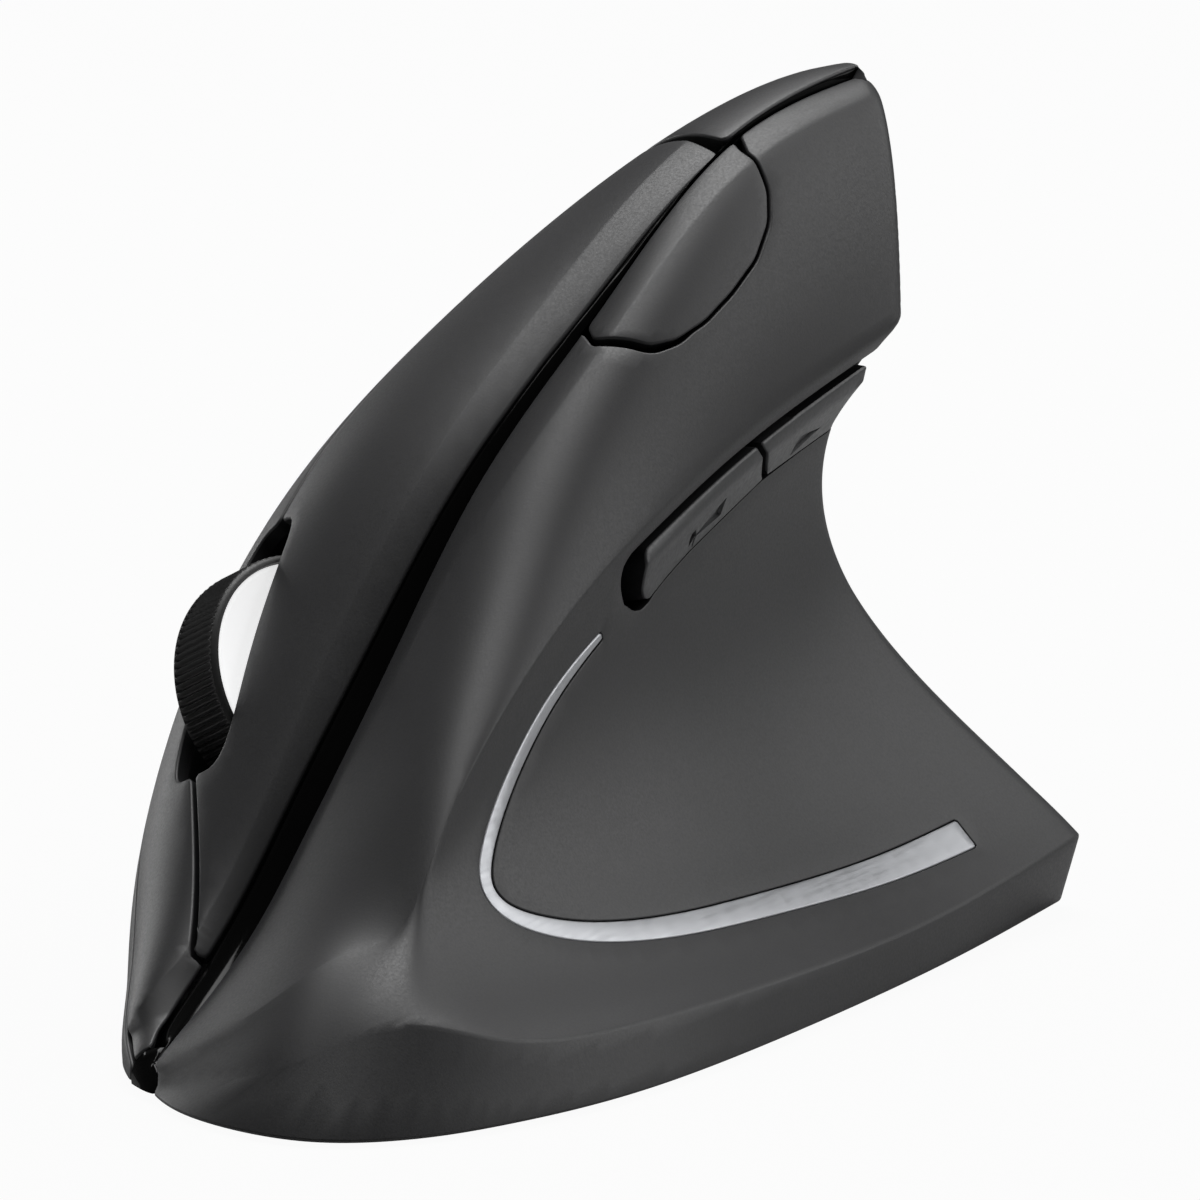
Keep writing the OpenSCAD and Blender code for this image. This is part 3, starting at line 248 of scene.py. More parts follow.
def resample(side, loop, step):
    """Closed outline with points at equal distances."""
    closed = np.vstack([loop, loop[:1]])
    fine = np.vstack([a + (b - a) * np.linspace(0, 1, 12, endpoint=False)[:, None]
                      for a, b in zip(closed[:-1], closed[1:])] + [closed[-1:]])
    length = np.concatenate([[0], np.cumsum(np.linalg.norm(np.diff(side.at(fine), axis=0), axis=1))])
    wanted = np.linspace(0, length[-1], max(int(length[-1] / step), 8), endpoint=False)
    return np.column_stack([np.interp(wanted, length, fine[:, k]) for k in (0, 1)])


def outline(side, *parts, corner=1.0, step=0.6):
    """Closed outline through runs of points, with its corners rounded over a reach in millimetres."""
    fine = resample(side, np.vstack(parts), step / 3)
    reach = max(int(corner / (step / 3)), 1)
    wrapped = np.vstack([fine[-reach:], fine, fine[:reach]])
    sums = np.vstack([[0, 0], np.cumsum(wrapped, axis=0)])
    smooth = (sums[2 * reach + 1:] - sums[:-2 * reach - 1]) / (2 * reach + 1)
    return resample(side, smooth, step)


def turned(side, loop, left):
    """The loop run so that its flat map turns left or right."""
    x, y = side.flat(loop).T
    area = np.sum(x * np.roll(y, -1) - np.roll(x, -1) * y)
    return loop if (area > 0) == left else loop[::-1]


def inset(side, loop, distance):
    """Loop moved along the surface to its left, by one distance or one for each point."""
    p = side.at(loop)
    ahead = unit(np.roll(p, -1, axis=0) - np.roll(p, 1, axis=0))
    inward = unit(np.cross(side.turn * side.normal(loop), ahead))
    return side.shift(loop, np.reshape(distance, (-1, 1)) * inward)


def contains(polygon, points):
    """Which points of the plane lie in a polygon."""
    x, y = points.T
    inside = np.zeros(len(points), bool)
    for (ax, ay), (bx, by) in zip(polygon, np.roll(polygon, -1, axis=0)):
        crossing = (ay > y) != (by > y)
        if crossing.any():
            inside ^= crossing & (x < ax + (y - ay) * (bx - ax) / ((by - ay) or 1e-12))
    return inside


def far_from(taken, points, distance):
    """Points that keep a distance from the taken ones."""
    tree = kdtree.KDTree(len(taken))
    for i, (x, y) in enumerate(taken):
        tree.insert((x, y, 0), i)
    tree.balance()
    keep = [tree.find((x, y, 0))[2] >= distance for x, y in points]
    return points[np.array(keep, bool)] if len(points) else points


def hex_grid(low, high, spacing):
    rows = np.arange(low[1], high[1], spacing * math.sqrt(0.75))
    return np.array([(x + (k % 2) * spacing / 2, y) for k, y in enumerate(rows)
                     for x in np.arange(low[0], high[0], spacing)]).reshape(-1, 2)


def triangulate(flat_points, edges, regions):
    """Triangles over points of the plane with fixed edges, inside the first region and outside the others."""
    points, _, faces, origins, _, _ = delaunay_2d_cdt(
        [Vector(p) for p in flat_points], edges, [], 0, 1e-6)
    points = np.array(points)
    faces = np.array(faces)
    middles = points[faces].mean(1)
    keep = contains(regions[0], middles)
    for hole in regions[1:]:
        keep &= ~contains(hole, middles)
    return points, faces[keep], origins


# Mesh builders

def add_mesh(name, verts, faces, sharp=40, outer=None):
    """Object from points in millimetres, with outward faces; faces after the outer ones are bare plastic, made
    darker as painted shade inside the seams.
    """
    mesh = bpy.data.meshes.new(name)
    mesh.from_pydata([tuple(p) for p in np.asarray(verts) * MM], [], [tuple(map(int, f)) for f in faces])
    for polygon in mesh.polygons[outer if outer is not None else len(faces):]:
        polygon.material_index = 1
    mesh.validate()
    volume = 0.0
    for polygon in mesh.polygons:
        a, *rest = (mesh.vertices[i].co for i in polygon.vertices)
        volume += sum(a.dot(b.cross(c)) for b, c in zip(rest, rest[1:]))
    if volume < 0:
        mesh.flip_normals()
    mesh.shade_smooth()
    mesh.set_sharp_from_angle(angle=math.radians(sharp))
    piece = bpy.data.objects.new(name, mesh)
    bpy.context.scene.collection.objects.link(piece)
    return piece


def edge_round(steps=4):
    """Distances from an edge and depths below the top along a quarter of a unit circle."""
    angles = np.linspace(0, math.pi / 2, steps)
    return [(1 - math.cos(t), 1 - math.sin(t)) for t in angles]


def even(value):
    return lambda uv: np.full(len(uv), value)


# Slope of a mark's walls, clearance of extra points and spacing of the points of inner skins, in millimetres
MARK_SLOPE = 0.12
SEED_CLEAR = 0.22
INNER_SPACING = 3.0


def panel(name, side, border, depth, holes=(), rise=even(0.0), radius=even(0.22), spacing=1.3,
          seeds=(), marks=(), free=2.0):
    """Closed piece of shell over a border, with rounded edges, holes, extra points and engraved marks.

    Its walls are bare plastic, made darker as painted shade inside the seams, up to the share free of the length.
    """
    loops = [turned(side, border, True)] + [turned(side, h, False) for h in holes]
    uv, drop, edges, starts = [], [], [], []

    def add_ring(ring, below):
        first = sum(map(len, uv))
        uv.append(ring)
        drop.append(np.broadcast_to(below, len(ring)))
        edges.extend((first + i, first + (i + 1) % len(ring)) for i in range(len(ring)))
        return first

    for loop in loops:
        size = radius(loop)
        rings = [add_ring(inset(side, loop, size * away), size * below) for away, below in edge_round()]
        starts.append(rings[0])
    floors = []
    for mark, mark_depth in marks:
        mark = turned(side, mark, True)
        add_ring(mark, 0.0)
        floors.append((side.flat(inset(side, mark, 0.1)), mark_depth))
        add_ring(inset(side, mark, MARK_SLOPE), mark_depth)
    regions = [side.flat(loop) for loop in loops]

    def add_points(flat_points, clearance):
        inside = contains(regions[0], flat_points)
        for hole in regions[1:]:
            inside &= ~contains(hole, flat_points)
        found = far_from(side.flat(np.vstack(uv)), flat_points[inside], clearance)
        below = np.zeros(len(found))
        for floor, mark_depth in floors:
            below[contains(floor, found)] = mark_depth
        uv.append(side.unflat(found))
        drop.append(below)

    for seed in seeds:
        add_points(side.flat(seed), SEED_CLEAR)
    low, high = regions[0].min(0), regions[0].max(0)
    add_points(hex_grid(low, high, spacing), 0.7 * spacing)
    all_uv, all_drop = np.vstack(uv), np.concatenate(drop)
    flat_points, faces, origins = triangulate(side.flat(all_uv), edges, regions)
    picked = np.array([o[0] if o else -1 for o in origins])
    out_uv = np.where(picked[:, None] >= 0, all_uv[picked], side.unflat(flat_points))
    out_drop = np.where(picked >= 0, all_drop[picked], 0.0)
    outer = side.at(out_uv) + (rise(out_uv) - out_drop)[:, None] * side.normal(out_uv)
    place = {int(o): k for k, found in enumerate(origins) for o in found}

    ring_uv = np.vstack(loops)
    inner_points = hex_grid(low, high, INNER_SPACING)
    inside = contains(regions[0], inner_points)
    for hole in regions[1:]:
        inside &= ~contains(hole, inner_points)
    inner_points = far_from(side.flat(ring_uv), inner_points[inside], 0.6 * INNER_SPACING)
    inner_flat = np.vstack([side.flat(ring_uv), inner_points])
    inner_edges, first = [], 0
    for loop in loops:
        inner_edges.extend((first + i, first + (i + 1) % len(loop)) for i in range(len(loop)))
        first += len(loop)
    back_points, back_faces, back_origins = triangulate(inner_flat, inner_edges, regions)
    back_uv = side.unflat(back_points)
    back = side.at(back_uv) - depth(back_uv)[:, None] * side.normal(back_uv, side.wide)
    back[:, 2] = np.maximum(back[:, 2], FOOT)
    back_place = {int(o): k for k, found in enumerate(back_origins) for o in found}

    count = len(outer)
    walls, free_walls, first = [], [], 0
    for loop, start in zip(loops, starts):
        for i in range(len(loop)):
            j = (i + 1) % len(loop)
            kind = walls if loop[i, 0] < free else free_walls
            kind.append((place[start + j], place[start + i],
                         count + back_place[first + i], count + back_place[first + j]))
        first += len(loop)
    shell_faces = [tuple(f) for f in faces] + free_walls
    back_list = [tuple(count + f[::-1]) for f in back_faces]
    return add_mesh(name, np.vstack([outer, back]), shell_faces + back_list + walls, outer=len(shell_faces))


def tube(name, rings, sharp=40):
    """Closed body through equal rings of points, with flat ends."""
    rings = np.asarray(rings, float)
    n, m = rings.shape[:2]
    verts = np.vstack([rings.reshape(-1, 3), rings[0].mean(0), rings[-1].mean(0)])
    faces = [(i * m + j, i * m + (j + 1) % m, (i + 1) * m + (j + 1) % m, (i + 1) * m + j)
             for i in range(n - 1) for j in range(m)]
    faces += [((j + 1) % m, j, n * m) for j in range(m)]
    faces += [((n - 1) * m + j, (n - 1) * m + (j + 1) % m, n * m + 1) for j in range(m)]
    return add_mesh(name, verts, faces, sharp)


def wear(piece, node, body, material):
    """The piece stands for a node, rides on its body and takes its finish."""
    piece.data.materials.append(material)
    if any(polygon.material_index for polygon in piece.data.polygons):
        piece.data.materials.append(BARE_SEAM_SHADE)
    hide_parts(node)
    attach(piece, body)
    return piece


# Seams of the palm side

def rib_speed(u):
    return 3 * np.linalg.norm(PALM_HIGH(u) - palm_top(u), axis=-1)


# The strip narrows towards the top: where it would end, how fast, and its least share of the width
STRIP_END = 0.72
STRIP_TAPER = 5
STRIP_LEAST = 0.35
STRIP_MOST_V = 0.25
# Least share of a rib between the strip and the split; cut at the side seam, in millimetres and as a share
SPLIT_LEAST = 0.06
SIDE_CUT = 0.4
SIDE_CUT_MOST = 0.12


def strip_v(u):
    """Share of a rib at which the palm side starts, beside the strip."""
    wide = STRIP_W * np.clip((STRIP_END - u) * STRIP_TAPER, STRIP_LEAST, 1)
    return np.minimum((wide + SEAM / 2) / rib_speed(u), STRIP_MOST_V)


def split_v(u):
    return V_SPLIT - SPLIT_SLOPE * np.maximum(U_SLOT[0] - u, 0)


def split_edge(u, turn, half):
    """Edge of a button along the split, on one side of it, at half a gap in millimetres."""
    middle = split_v(u)
    floor = strip_v(u) + SPLIT_LEAST
    return np.maximum(middle + turn * half / PALM.speed(u, middle), floor)


def side_cut(u):
    return np.minimum(SIDE_CUT / PALM.speed(u, np.full_like(u, V_SIDE)), SIDE_CUT_MOST)


def run(u_from, u_to, v, points=60):
    """Points along u with v from a function."""
    us = np.linspace(u_from, u_to, points)
    return np.column_stack([us, v(us)])


# Bevel beside the strip: its depth, where it starts at the nose, and the reach over which it deepens
CHAMFER_DROP = 0.9
CHAMFER_START = 0.03
CHAMFER_RUN = 0.05
# Edges of that bevel on the left and the right button: shares along the finger side and across it
BEVEL_EDGE = ((0.14, 0.2), (0.162, 0.185), (0.184, 0.155), (0.258, 0.12), (0.432, 0.098), (0.536, 0.105),
              (0.66, 0.105))
NOSE_EDGE = ((0.07, 1.0), (0.083, 0.616), (0.093, 0.438), (0.111, 0.318), (0.128, 0.235), (0.15, 0.19))


def soft_table(table, u, reach):
    """Table read with its corners rounded."""
    us, vs = np.array(table).T
    return np.mean([np.interp(u + o, us, vs) for o in np.linspace(-reach, reach, 7)], axis=0)


def soft_ramp(x, soft):
    """The greater of x and zero, with a soft corner."""
    return (x + np.sqrt(x * x + soft * soft)) / 2


def left_bevel_v(u):
    return soft_table(BEVEL_EDGE, u, 0.02)


def nose_bevel_v(u):
    return soft_table(NOSE_EDGE, u, 0.006)


def facet(edge):
    """Bevel from the strip up to an edge on the palm side."""
    def rise(uv):
        start = strip_v(uv[:, 0])
        share = (uv[:, 1] - start) / np.maximum(edge(uv[:, 0]) - start, 0.02)
        deep = CHAMFER_DROP * np.clip((uv[:, 0] - CHAMFER_START) / CHAMFER_RUN, 0, 1)
        return -deep * soft_ramp(1 - share, 0.02)
    return rise


def facet_seeds(edge, u_from, u_to, points):
    """Points along the edge of a bevel and close on both sides of it."""
    return [run(u_from, u_to, lambda u, w=w: edge(u) + w / PALM.speed(u, edge(u)), points)
            for w in (-0.15, 0, 0.15)]


# Materials

def new_material(name):
    material = bpy.data.materials.new(name)
    material.use_nodes = True
    nodes, links = material.node_tree.nodes, material.node_tree.links
    return material, nodes, links, nodes["Principled BSDF"]


def noise(nodes, links, scale, detail=4.0, stretch=None):
    """Noise over the object's own metres."""
    coords = nodes.new("ShaderNodeTexCoord")
    texture = nodes.new("ShaderNodeTexNoise")
    texture.inputs["Scale"].default_value = scale
    texture.inputs["Detail"].default_value = detail
    source = coords.outputs["Object"]
    if stretch:
        mapping = nodes.new("ShaderNodeMapping")
        mapping.inputs["Scale"].default_value = stretch
        links.new(source, mapping.inputs["Vector"])
        source = mapping.outputs["Vector"]
    links.new(source, texture.inputs["Vector"])
    return texture.outputs["Fac"]


def ramp(nodes, links, source, low, high):
    """Colour or value that runs from low to high with a source."""
    node = nodes.new("ShaderNodeValToRGB")
    node.color_ramp.elements[0].position, node.color_ramp.elements[1].position = 0.3, 0.7
    node.color_ramp.elements[0].color, node.color_ramp.elements[1].color = low, high
    links.new(source, node.inputs["Fac"])
    return node.outputs["Color"]


def grey(value):
    return (value, value, value, 1)


# Scale of the clouds in a colour, per metre, and the depth of a grain in metres
CLOUDS = 55.0
GRAIN_DEPTH = 0.00005


def finish(name, color, rough, grain=4500.0, bump=0.12, spread=0.12, rough_spread=0.06, stretch=None,
           **sockets):
    """Moulded or painted finish: colour and gloss vary a little, with a fine grain."""
    material, nodes, links, shader = new_material(name)
    cloud = noise(nodes, links, CLOUDS)
    low = [c * (1 - spread) for c in color] + [1]
    high = [min(c * (1 + spread), 1) for c in color] + [1]
    links.new(ramp(nodes, links, cloud, low, high), shader.inputs["Base Color"])
    fine = noise(nodes, links, grain, 2.0, stretch)
    gloss = ramp(nodes, links, fine, grey(rough - rough_spread), grey(rough + rough_spread))
    links.new(gloss, shader.inputs["Roughness"])
    if bump:
        relief = nodes.new("ShaderNodeBump")
        relief.inputs["Strength"].default_value = bump
        relief.inputs["Distance"].default_value = GRAIN_DEPTH
        links.new(fine, relief.inputs["Height"])
        links.new(relief.outputs["Normal"], shader.inputs["Normal"])
    for socket, value in sockets.items():
        shader.inputs[socket.replace("_", " ")].default_value = value
    return material


SOFT = finish("soft_charcoal", (0.03, 0.03, 0.0315), 0.48, Specular_IOR_Level=0.55)
# Bare plastic of walls and backs: partly the real unpainted plastic under the soft paint, partly painted shade
# that darkens the inside of the seams
BARE_SEAM_SHADE = finish("bare_plastic_seam_shade", (0.012, 0.012, 0.013), 0.6, Specular_IOR_Level=0.2)
BLACK = finish("black_plastic", (0.025, 0.025, 0.027), 0.48)
GLOSS = finish("gloss_black", (0.002, 0.002, 0.002), 0.12, bump=0.0, rough_spread=0.03,
               Specular_IOR_Level=0.12)
SILVER = finish("silver_trim", (0.47, 0.48, 0.5), 0.4, 2600.0, 0.1, 0.05, 0.08, (1.0, 0.06, 1.0),
                Metallic=0.75)
# White hub finish that also glows: painted light that stands in for light falling on the hub, which holds no lamp
GLOWING_WHITE = finish("hub_white", (0.86, 0.87, 0.88), 0.3, bump=0.03, spread=0.03, Emission_Color=(1, 1, 1, 1),
               Emission_Strength=0.7)
RUBBER = finish("wheel_rubber", (0.022, 0.022, 0.022), 0.5, 3200.0, 0.2)
KEYS = finish("key_charcoal", (0.045, 0.046, 0.048), 0.4, 2600.0, 0.35, Specular_IOR_Level=0.65)
STEEL = finish("steel", (0.6, 0.6, 0.62), 0.28, 1800.0, 0.05, Metallic=1.0)
BRASS = finish("contact_brass", (0.72, 0.55, 0.26), 0.3, 1800.0, 0.05, Metallic=1.0)
PAD = finish("foot_plastic", (0.03, 0.03, 0.03), 0.25, bump=0.03)
LENS = finish("clear_lens", (0.8, 0.85, 0.9), 0.08, bump=0.0, rough_spread=0.02, Transmission_Weight=0.9)
BOARD = finish("board_green", (0.02, 0.14, 0.06), 0.4, 900.0, 0.08)
SWITCH = finish("switch_black", (0.03, 0.03, 0.034), 0.5)
RED = finish("plunger_red", (0.42, 0.03, 0.02), 0.45)
RIBBON = finish("ribbon_white", (0.7, 0.7, 0.67), 0.5, 700.0, 0.1, stretch=(8.0, 1.0, 1.0))
CELL = finish("cell_wrap", (0.05, 0.12, 0.09), 0.25, bump=0.02)
BY_SLOT = {"soft_charcoal": SOFT, "black_plastic": BLACK, "gloss_black": GLOSS, "silver_trim": SILVER,
           "wheel_rubber": RUBBER, "steel": STEEL, "contact_brass": BRASS, "foot_plastic": PAD,
           "clear_lens": LENS, "board_green": BOARD, "switch_black": SWITCH, "plunger_red": RED,
           "ribbon_white": RIBBON, "cell_wrap": CELL, "hub_white": GLOWING_WHITE}
for row in frame["record"]["subparts"]:
    node = frame["nodes"][row["node"]]
    node.data.materials.clear()
    node.data.materials.append(BY_SLOT[row["material_slot"]])


# Main buttons

def left_edge(u):
    return split_edge(u, -1, SEAM / 2)


def right_edge(u):
    return split_edge(u, 1, SEAM / 2)


def slot_half(u):
    """Half width of the wheel slot, with rounded ends."""
    share = (2 * u - U_SLOT[0] - U_SLOT[1]) / (U_SLOT[1] - U_SLOT[0])
    return np.maximum(SLOT_HALF * (1 - np.minimum(np.abs(share), 1) ** 4) ** 0.25, SEAM / 2)


def left_slot(u):
    return split_edge(u, -1, slot_half(u))


def right_slot(u):
    return split_edge(u, 1, slot_half(u))


def side_edge(u):
    return V_SIDE - side_cut(u)


left = outline(PALM, run(U_FRONT, U_HINGE - 0.001, strip_v), run(U_HINGE - 0.001, U_SLOT[1], left_edge),
               run(U_SLOT[1], U_SLOT[0], left_slot, 120), run(U_SLOT[0], U_FRONT, left_edge), corner=0.5)
wear(panel("left_button_skin", PALM, left, even(BUTTON_WALL), rise=facet(left_bevel_v),
           seeds=facet_seeds(left_bevel_v, U_FRONT + 0.015, U_HINGE - 0.005, 240)),
     "left_button", "left_button", SOFT)
right = outline(PALM, run(U_NOSE, U_FRONT - U_GAP, strip_v), run(U_FRONT - U_GAP, U_SLOT[0], right_edge),
                run(U_SLOT[0], U_SLOT[1], right_slot, 120), run(U_SLOT[1], U_HINGE - 0.002, right_edge),
                run(U_HINGE - 0.002, U_NOSE, side_edge), corner=0.5)


def nose_share(uv):
    """Share of a wall that is left towards the nose, where both sides come together."""
    return np.clip(0.3 + 6 * uv[:, 0], 0.3, 1)


def nose_wall(uv):
    """Wall of the right button."""
    return RIGHT_WALL * nose_share(uv)


wear(panel("right_button_skin", PALM, right, nose_wall, rise=facet(nose_bevel_v),
           seeds=facet_seeds(nose_bevel_v, 0.085, U_FRONT - 0.005, 60)),
     "right_button", "right_button", SOFT)

# Palm shell: the side under the buttons, the top behind them and the tail
rear = outline(PALM, run(U_NOSE, U_HINGE + 0.003, lambda u: np.full_like(u, V_SIDE)),
               run(U_HINGE + 0.003, 0.99, strip_v, 90),
               run(0.99, U_NOSE, lambda u: np.full_like(u, 0.999), 160), corner=0.8)
top_corner = [np.column_stack([np.full(160, U_TOP + away), np.linspace(0.03, 0.7, 160)])
              for away in (-0.004, 0.0, 0.004)]
wear(panel("palm_skin", PALM, rear, even(WALL), seeds=top_corner),
     "palm_shell", "housing", SOFT)


# Thumb side

def thumb_speed(u):
    """Millimetres per share of a rib at the spine."""
    return 2 / V_CREASE * np.linalg.norm(BROW(u) - SPINE(u), axis=-1)


# How far the thumb side reaches past the spine, in millimetres, over its length
OVER_SPINE = ((0.0, -0.1), (0.13, 0.0), (0.21, 0.4), (0.32, 0.5), (0.42, 0.6), (0.54, 1.45), (0.65, 1.95),
              (0.7, 2.4), (0.75, 2.25), (0.78, 1.95), (0.81, 1.6), (0.84, 1.25), (0.9, 0.9), (1.0, 0.75))
# Bevel of the thumb side along the spine: width, depth, and the shares between which it deepens
BEVEL_W = 2.85
BEVEL_DROP = 0.8
BEVEL_START = 0.08
BEVEL_RUN = 0.3


def over_spine(u):
    return soft_table(OVER_SPINE, u, 0.03)


def thumb_edge(u):
    return -over_spine(u) / thumb_speed(u)


def bevel_drop(u):
    """Depth of the bevel at its edge, which runs out towards the nose."""
    return BEVEL_DROP * np.clip((u - BEVEL_START) / BEVEL_RUN, 0, 1)


def bevel_share(uv):
    """Share of the bevel's width from its line on the thumb side to its edge past the spine."""
    return (BEVEL_W - uv[:, 1] * thumb_speed(uv[:, 0])) / (BEVEL_W + over_spine(uv[:, 0]))


def bevel(uv, soft):
    """Bevel of the thumb side along the spine."""
    return -bevel_drop(uv[:, 0]) * soft_ramp(bevel_share(uv), soft)


# Rounded rear edge of the thumb shell: its radius, the length of the side, and the shares at which it ends
REAR_R = 1.3
THUMB_L = 118.0
U_TIP = 0.003
U_REAR = 1.004
V_SKIRT = 1.003


def rear_round(uv):
    """Drop of the thumb shell towards its rounded rear edge."""
    x = np.clip(1 - (U_REAR - uv[:, 0]) * THUMB_L / REAR_R, 0, 0.98)
    return REAR_R * (1 - np.sqrt(1 - x * x))


def shell_bevel(uv):
    return bevel(uv, 0.1) - rear_round(uv)


def dpi_bevel(uv):
    return bevel(uv, 0.025)


def bevel_seeds(u_from, u_to, points):
    return [run(u_from, u_to, lambda u, w=w: w / thumb_speed(u), points)
            for w in (BEVEL_W - 0.25, BEVEL_W, BEVEL_W + 0.25)]


# Speed button, shaped like a D against the strip, and its notch in the shell
DPI = ((0.740, 0.012), (0.750, 0.062), (0.778, 0.169), (0.800, 0.207), (0.826, 0.224), (0.852, 0.222),
       (0.876, 0.208), (0.891, 0.173), (0.896, 0.125), (0.894, 0.06), (0.888, 0.012))


def dpi_edge(u):
    return thumb_edge(u) + DPI_GAP / thumb_speed(u)


dpi = outline(THUMB, run(DPI[-1][0], DPI[0][0], dpi_edge, 30), np.array(DPI), corner=0.7, step=0.5)
wear(panel("dpi_button_skin", THUMB, dpi, even(DPI_WALL + BEVEL_DROP), rise=dpi_bevel, spacing=0.9,
           seeds=bevel_seeds(0.75, 0.885, 70)),
     "dpi_button", "dpi_button", SOFT)


# Gap round the speed button in millimetres, what its front end adds, and the shares over which it widens
NOTCH_GAP = 0.28
NOTCH_MORE = 0.62
NOTCH_FRONT = 0.815
NOTCH_RUN = 0.04


def dpi_notch():
    """Edge of the shell round the speed button, from the front to the rear, wider at the front end."""
    loop = turned(THUMB, dpi, False)
    gap = NOTCH_GAP + NOTCH_MORE * np.clip((NOTCH_FRONT - loop[:, 0]) / NOTCH_RUN, 0, 1)
    p = THUMB.at(loop)
    ahead = unit(np.roll(p, -1, axis=0) - np.roll(p, 1, axis=0))
    away = unit(np.cross(THUMB.turn * THUMB.normal(loop), ahead))
    edge = THUMB.shift(loop, gap[:, None] * away)
    edge = edge[loop[:, 1] > 0.025]
    steps = np.diff(THUMB.at(np.vstack([edge, edge[:1]])), axis=0)
    start = int(np.argmax(np.linalg.norm(steps, axis=1))) + 1
    edge = np.roll(edge, -start, axis=0)
    return edge if edge[0, 0] < edge[-1, 0] else edge[::-1]


# Thumb buttons, each with a bevel along its upper edge and an engraved arrow
KEY_TOP = 0.4475
KEY_PROUD = 1.0
KEY_BEVEL_W = 1.2
KEY_BEVEL_DROP = 0.7
KEY_V = 0.47
KEY_FOOT = ((0.752, 0.5085), (0.775, 0.503), (0.805, 0.4985), (0.86, 0.495), (0.9025, 0.4915), (0.952, 0.494),
            (0.998, 0.498))
FORWARD_KEY = ((0.738, KEY_TOP), (0.8755, KEY_TOP), (0.9025, 0.4915), (0.86, 0.495), (0.805, 0.4985),
               (0.775, 0.503), (0.752, 0.5085), (0.744, 0.503), (0.738, 0.49), (0.735, 0.47), (0.7335, 0.458),
               (0.7345, 0.4505))
BACK_KEY = ((0.8805, KEY_TOP), (0.994, KEY_TOP), (0.994, 0.4975), (0.952, 0.494), (0.9085, 0.4905))
FORWARD_ARROW = ((0.845, 0.472), (0.845, 0.489), (0.806, 0.487))
BACK_ARROW = ((0.936, 0.472), (0.970, 0.483), (0.936, 0.490))
ARROW_DEPTH = 0.35
# Radius of an edge where a button runs into the shell
RUN_IN_R = 0.05


def key_foot(u):
    """Lower edge of the thumb buttons."""
    return np.interp(u, *np.array(KEY_FOOT).T)


def key_rise(uv):
    """Proud at the upper edge, flush with the shell at the lower one."""
    share = np.clip((uv[:, 1] - KEY_TOP) / (key_foot(uv[:, 0]) - KEY_TOP), 0, 1)
    away = (uv[:, 1] - KEY_TOP) * THUMB.speed(uv[:, 0], np.full(len(uv), KEY_V))
    return KEY_PROUD * (1 - share) - KEY_BEVEL_DROP * soft_ramp(1 - away / KEY_BEVEL_W, 0.06)


def key_radius(uv):
    """Small along the lower edge, where the button runs into the shell."""
    return np.where(key_foot(uv[:, 0]) - uv[:, 1] < 0.004, RUN_IN_R, 0.2)


def key_line(w):
    """Line at a distance in millimetres below the upper edge of the thumb buttons."""
    return lambda u: KEY_TOP + w / THUMB.speed(u, np.full_like(u, KEY_V))


def key(node, corners, arrow):
    border = outline(THUMB, np.array(corners), corner=0.25, step=0.3)
    us = np.array(corners)[:, 0]
    line = [run(us.min() + 0.008, us.max() - 0.03, key_line(w), 80)
            for w in (KEY_BEVEL_W - 0.15, KEY_BEVEL_W, KEY_BEVEL_W + 0.15)]
    mark = outline(THUMB, np.array(arrow), corner=0.15, step=0.2)
    piece = panel(node + "_skin", THUMB, border, even(WALL), rise=key_rise, radius=key_radius, spacing=0.6,
                  seeds=line, marks=[(mark, ARROW_DEPTH)])
    return wear(piece, node, node, KEYS)


key("forward_button", FORWARD_KEY, FORWARD_ARROW)
key("back_button", BACK_KEY, BACK_ARROW)

# Silver accent: a hook on the scoop that widens towards its rear end
HOOK = Curve(((0.690, 0.4985), (0.652, 0.502), (0.612, 0.513), (0.572, 0.543), (0.546, 0.585),
              (0.5405, 0.628), (0.556, 0.679), (0.590, 0.728), (0.640, 0.771), (0.708, 0.803), (0.790, 0.820),
              (0.870, 0.832), (0.936, 0.841)))
HOOK_W = np.array((0.7, 1.0, 1.25, 1.4, 1.5, 1.6, 1.75, 2.0, 2.15, 2.3, 2.5, 2.8, 3.0))


def hook_border(extra):
    """Outline of the accent, wider by a gap."""
    share = np.linspace(0, 1, len(HOOK_W))
    fine = np.linspace(0, 1, 120)
    path = HOOK(fine)
    half = np.interp(fine, share, HOOK_W) / 2 + extra
    p = THUMB.at(path)
    ahead = unit(np.gradient(p, axis=0))
    aside = unit(np.cross(THUMB.normal(path), ahead))
    one = THUMB.shift(path, half[:, None] * aside)
    other = THUMB.shift(path, -half[:, None] * aside)
    return outline(THUMB, one, other[::-1], corner=0.3, step=0.4)


accent = panel("silver_accent_skin", THUMB, hook_border(0.0), even(ACCENT_WALL), radius=even(0.2),
               spacing=0.7, rise=even(-0.04))
wear(accent, "silver_accent", "housing", SILVER)

# Thumb shell, with the notch of the speed button, the slot of the thumb buttons and the groove of the accent
KEY_SLOT = ((U_REAR, 0.4385), (0.75, 0.4385), (0.7185, 0.4385), (0.711, 0.444), (0.7095, 0.453),
            (0.711, 0.467), (0.718, 0.490), (0.731, 0.506), (0.742, 0.5125), (0.7535, 0.5115))


def slot_foot(u):
    return key_foot(u) + 0.0013


notch = dpi_notch()
shell = outline(THUMB, run(U_TIP, notch[0, 0] - 0.002, thumb_edge, 90), notch,
                run(notch[-1, 0] + 0.002, U_REAR, thumb_edge, 20), np.array(KEY_SLOT),
                run(0.757, U_REAR, slot_foot, 60),
                run(U_REAR, U_TIP, lambda u: np.full_like(u, V_SKIRT), 200), corner=0.3, step=0.5)


def shell_depth(uv):
    """Wall of the thumb shell, deeper under its bevel and its rounded rear edge."""
    deeper = bevel_drop(uv[:, 0]) * np.clip(bevel_share(uv) + 0.3, 0, 1)
    return THUMB_WALL * nose_share(uv) + np.maximum(deeper, rear_round(uv))


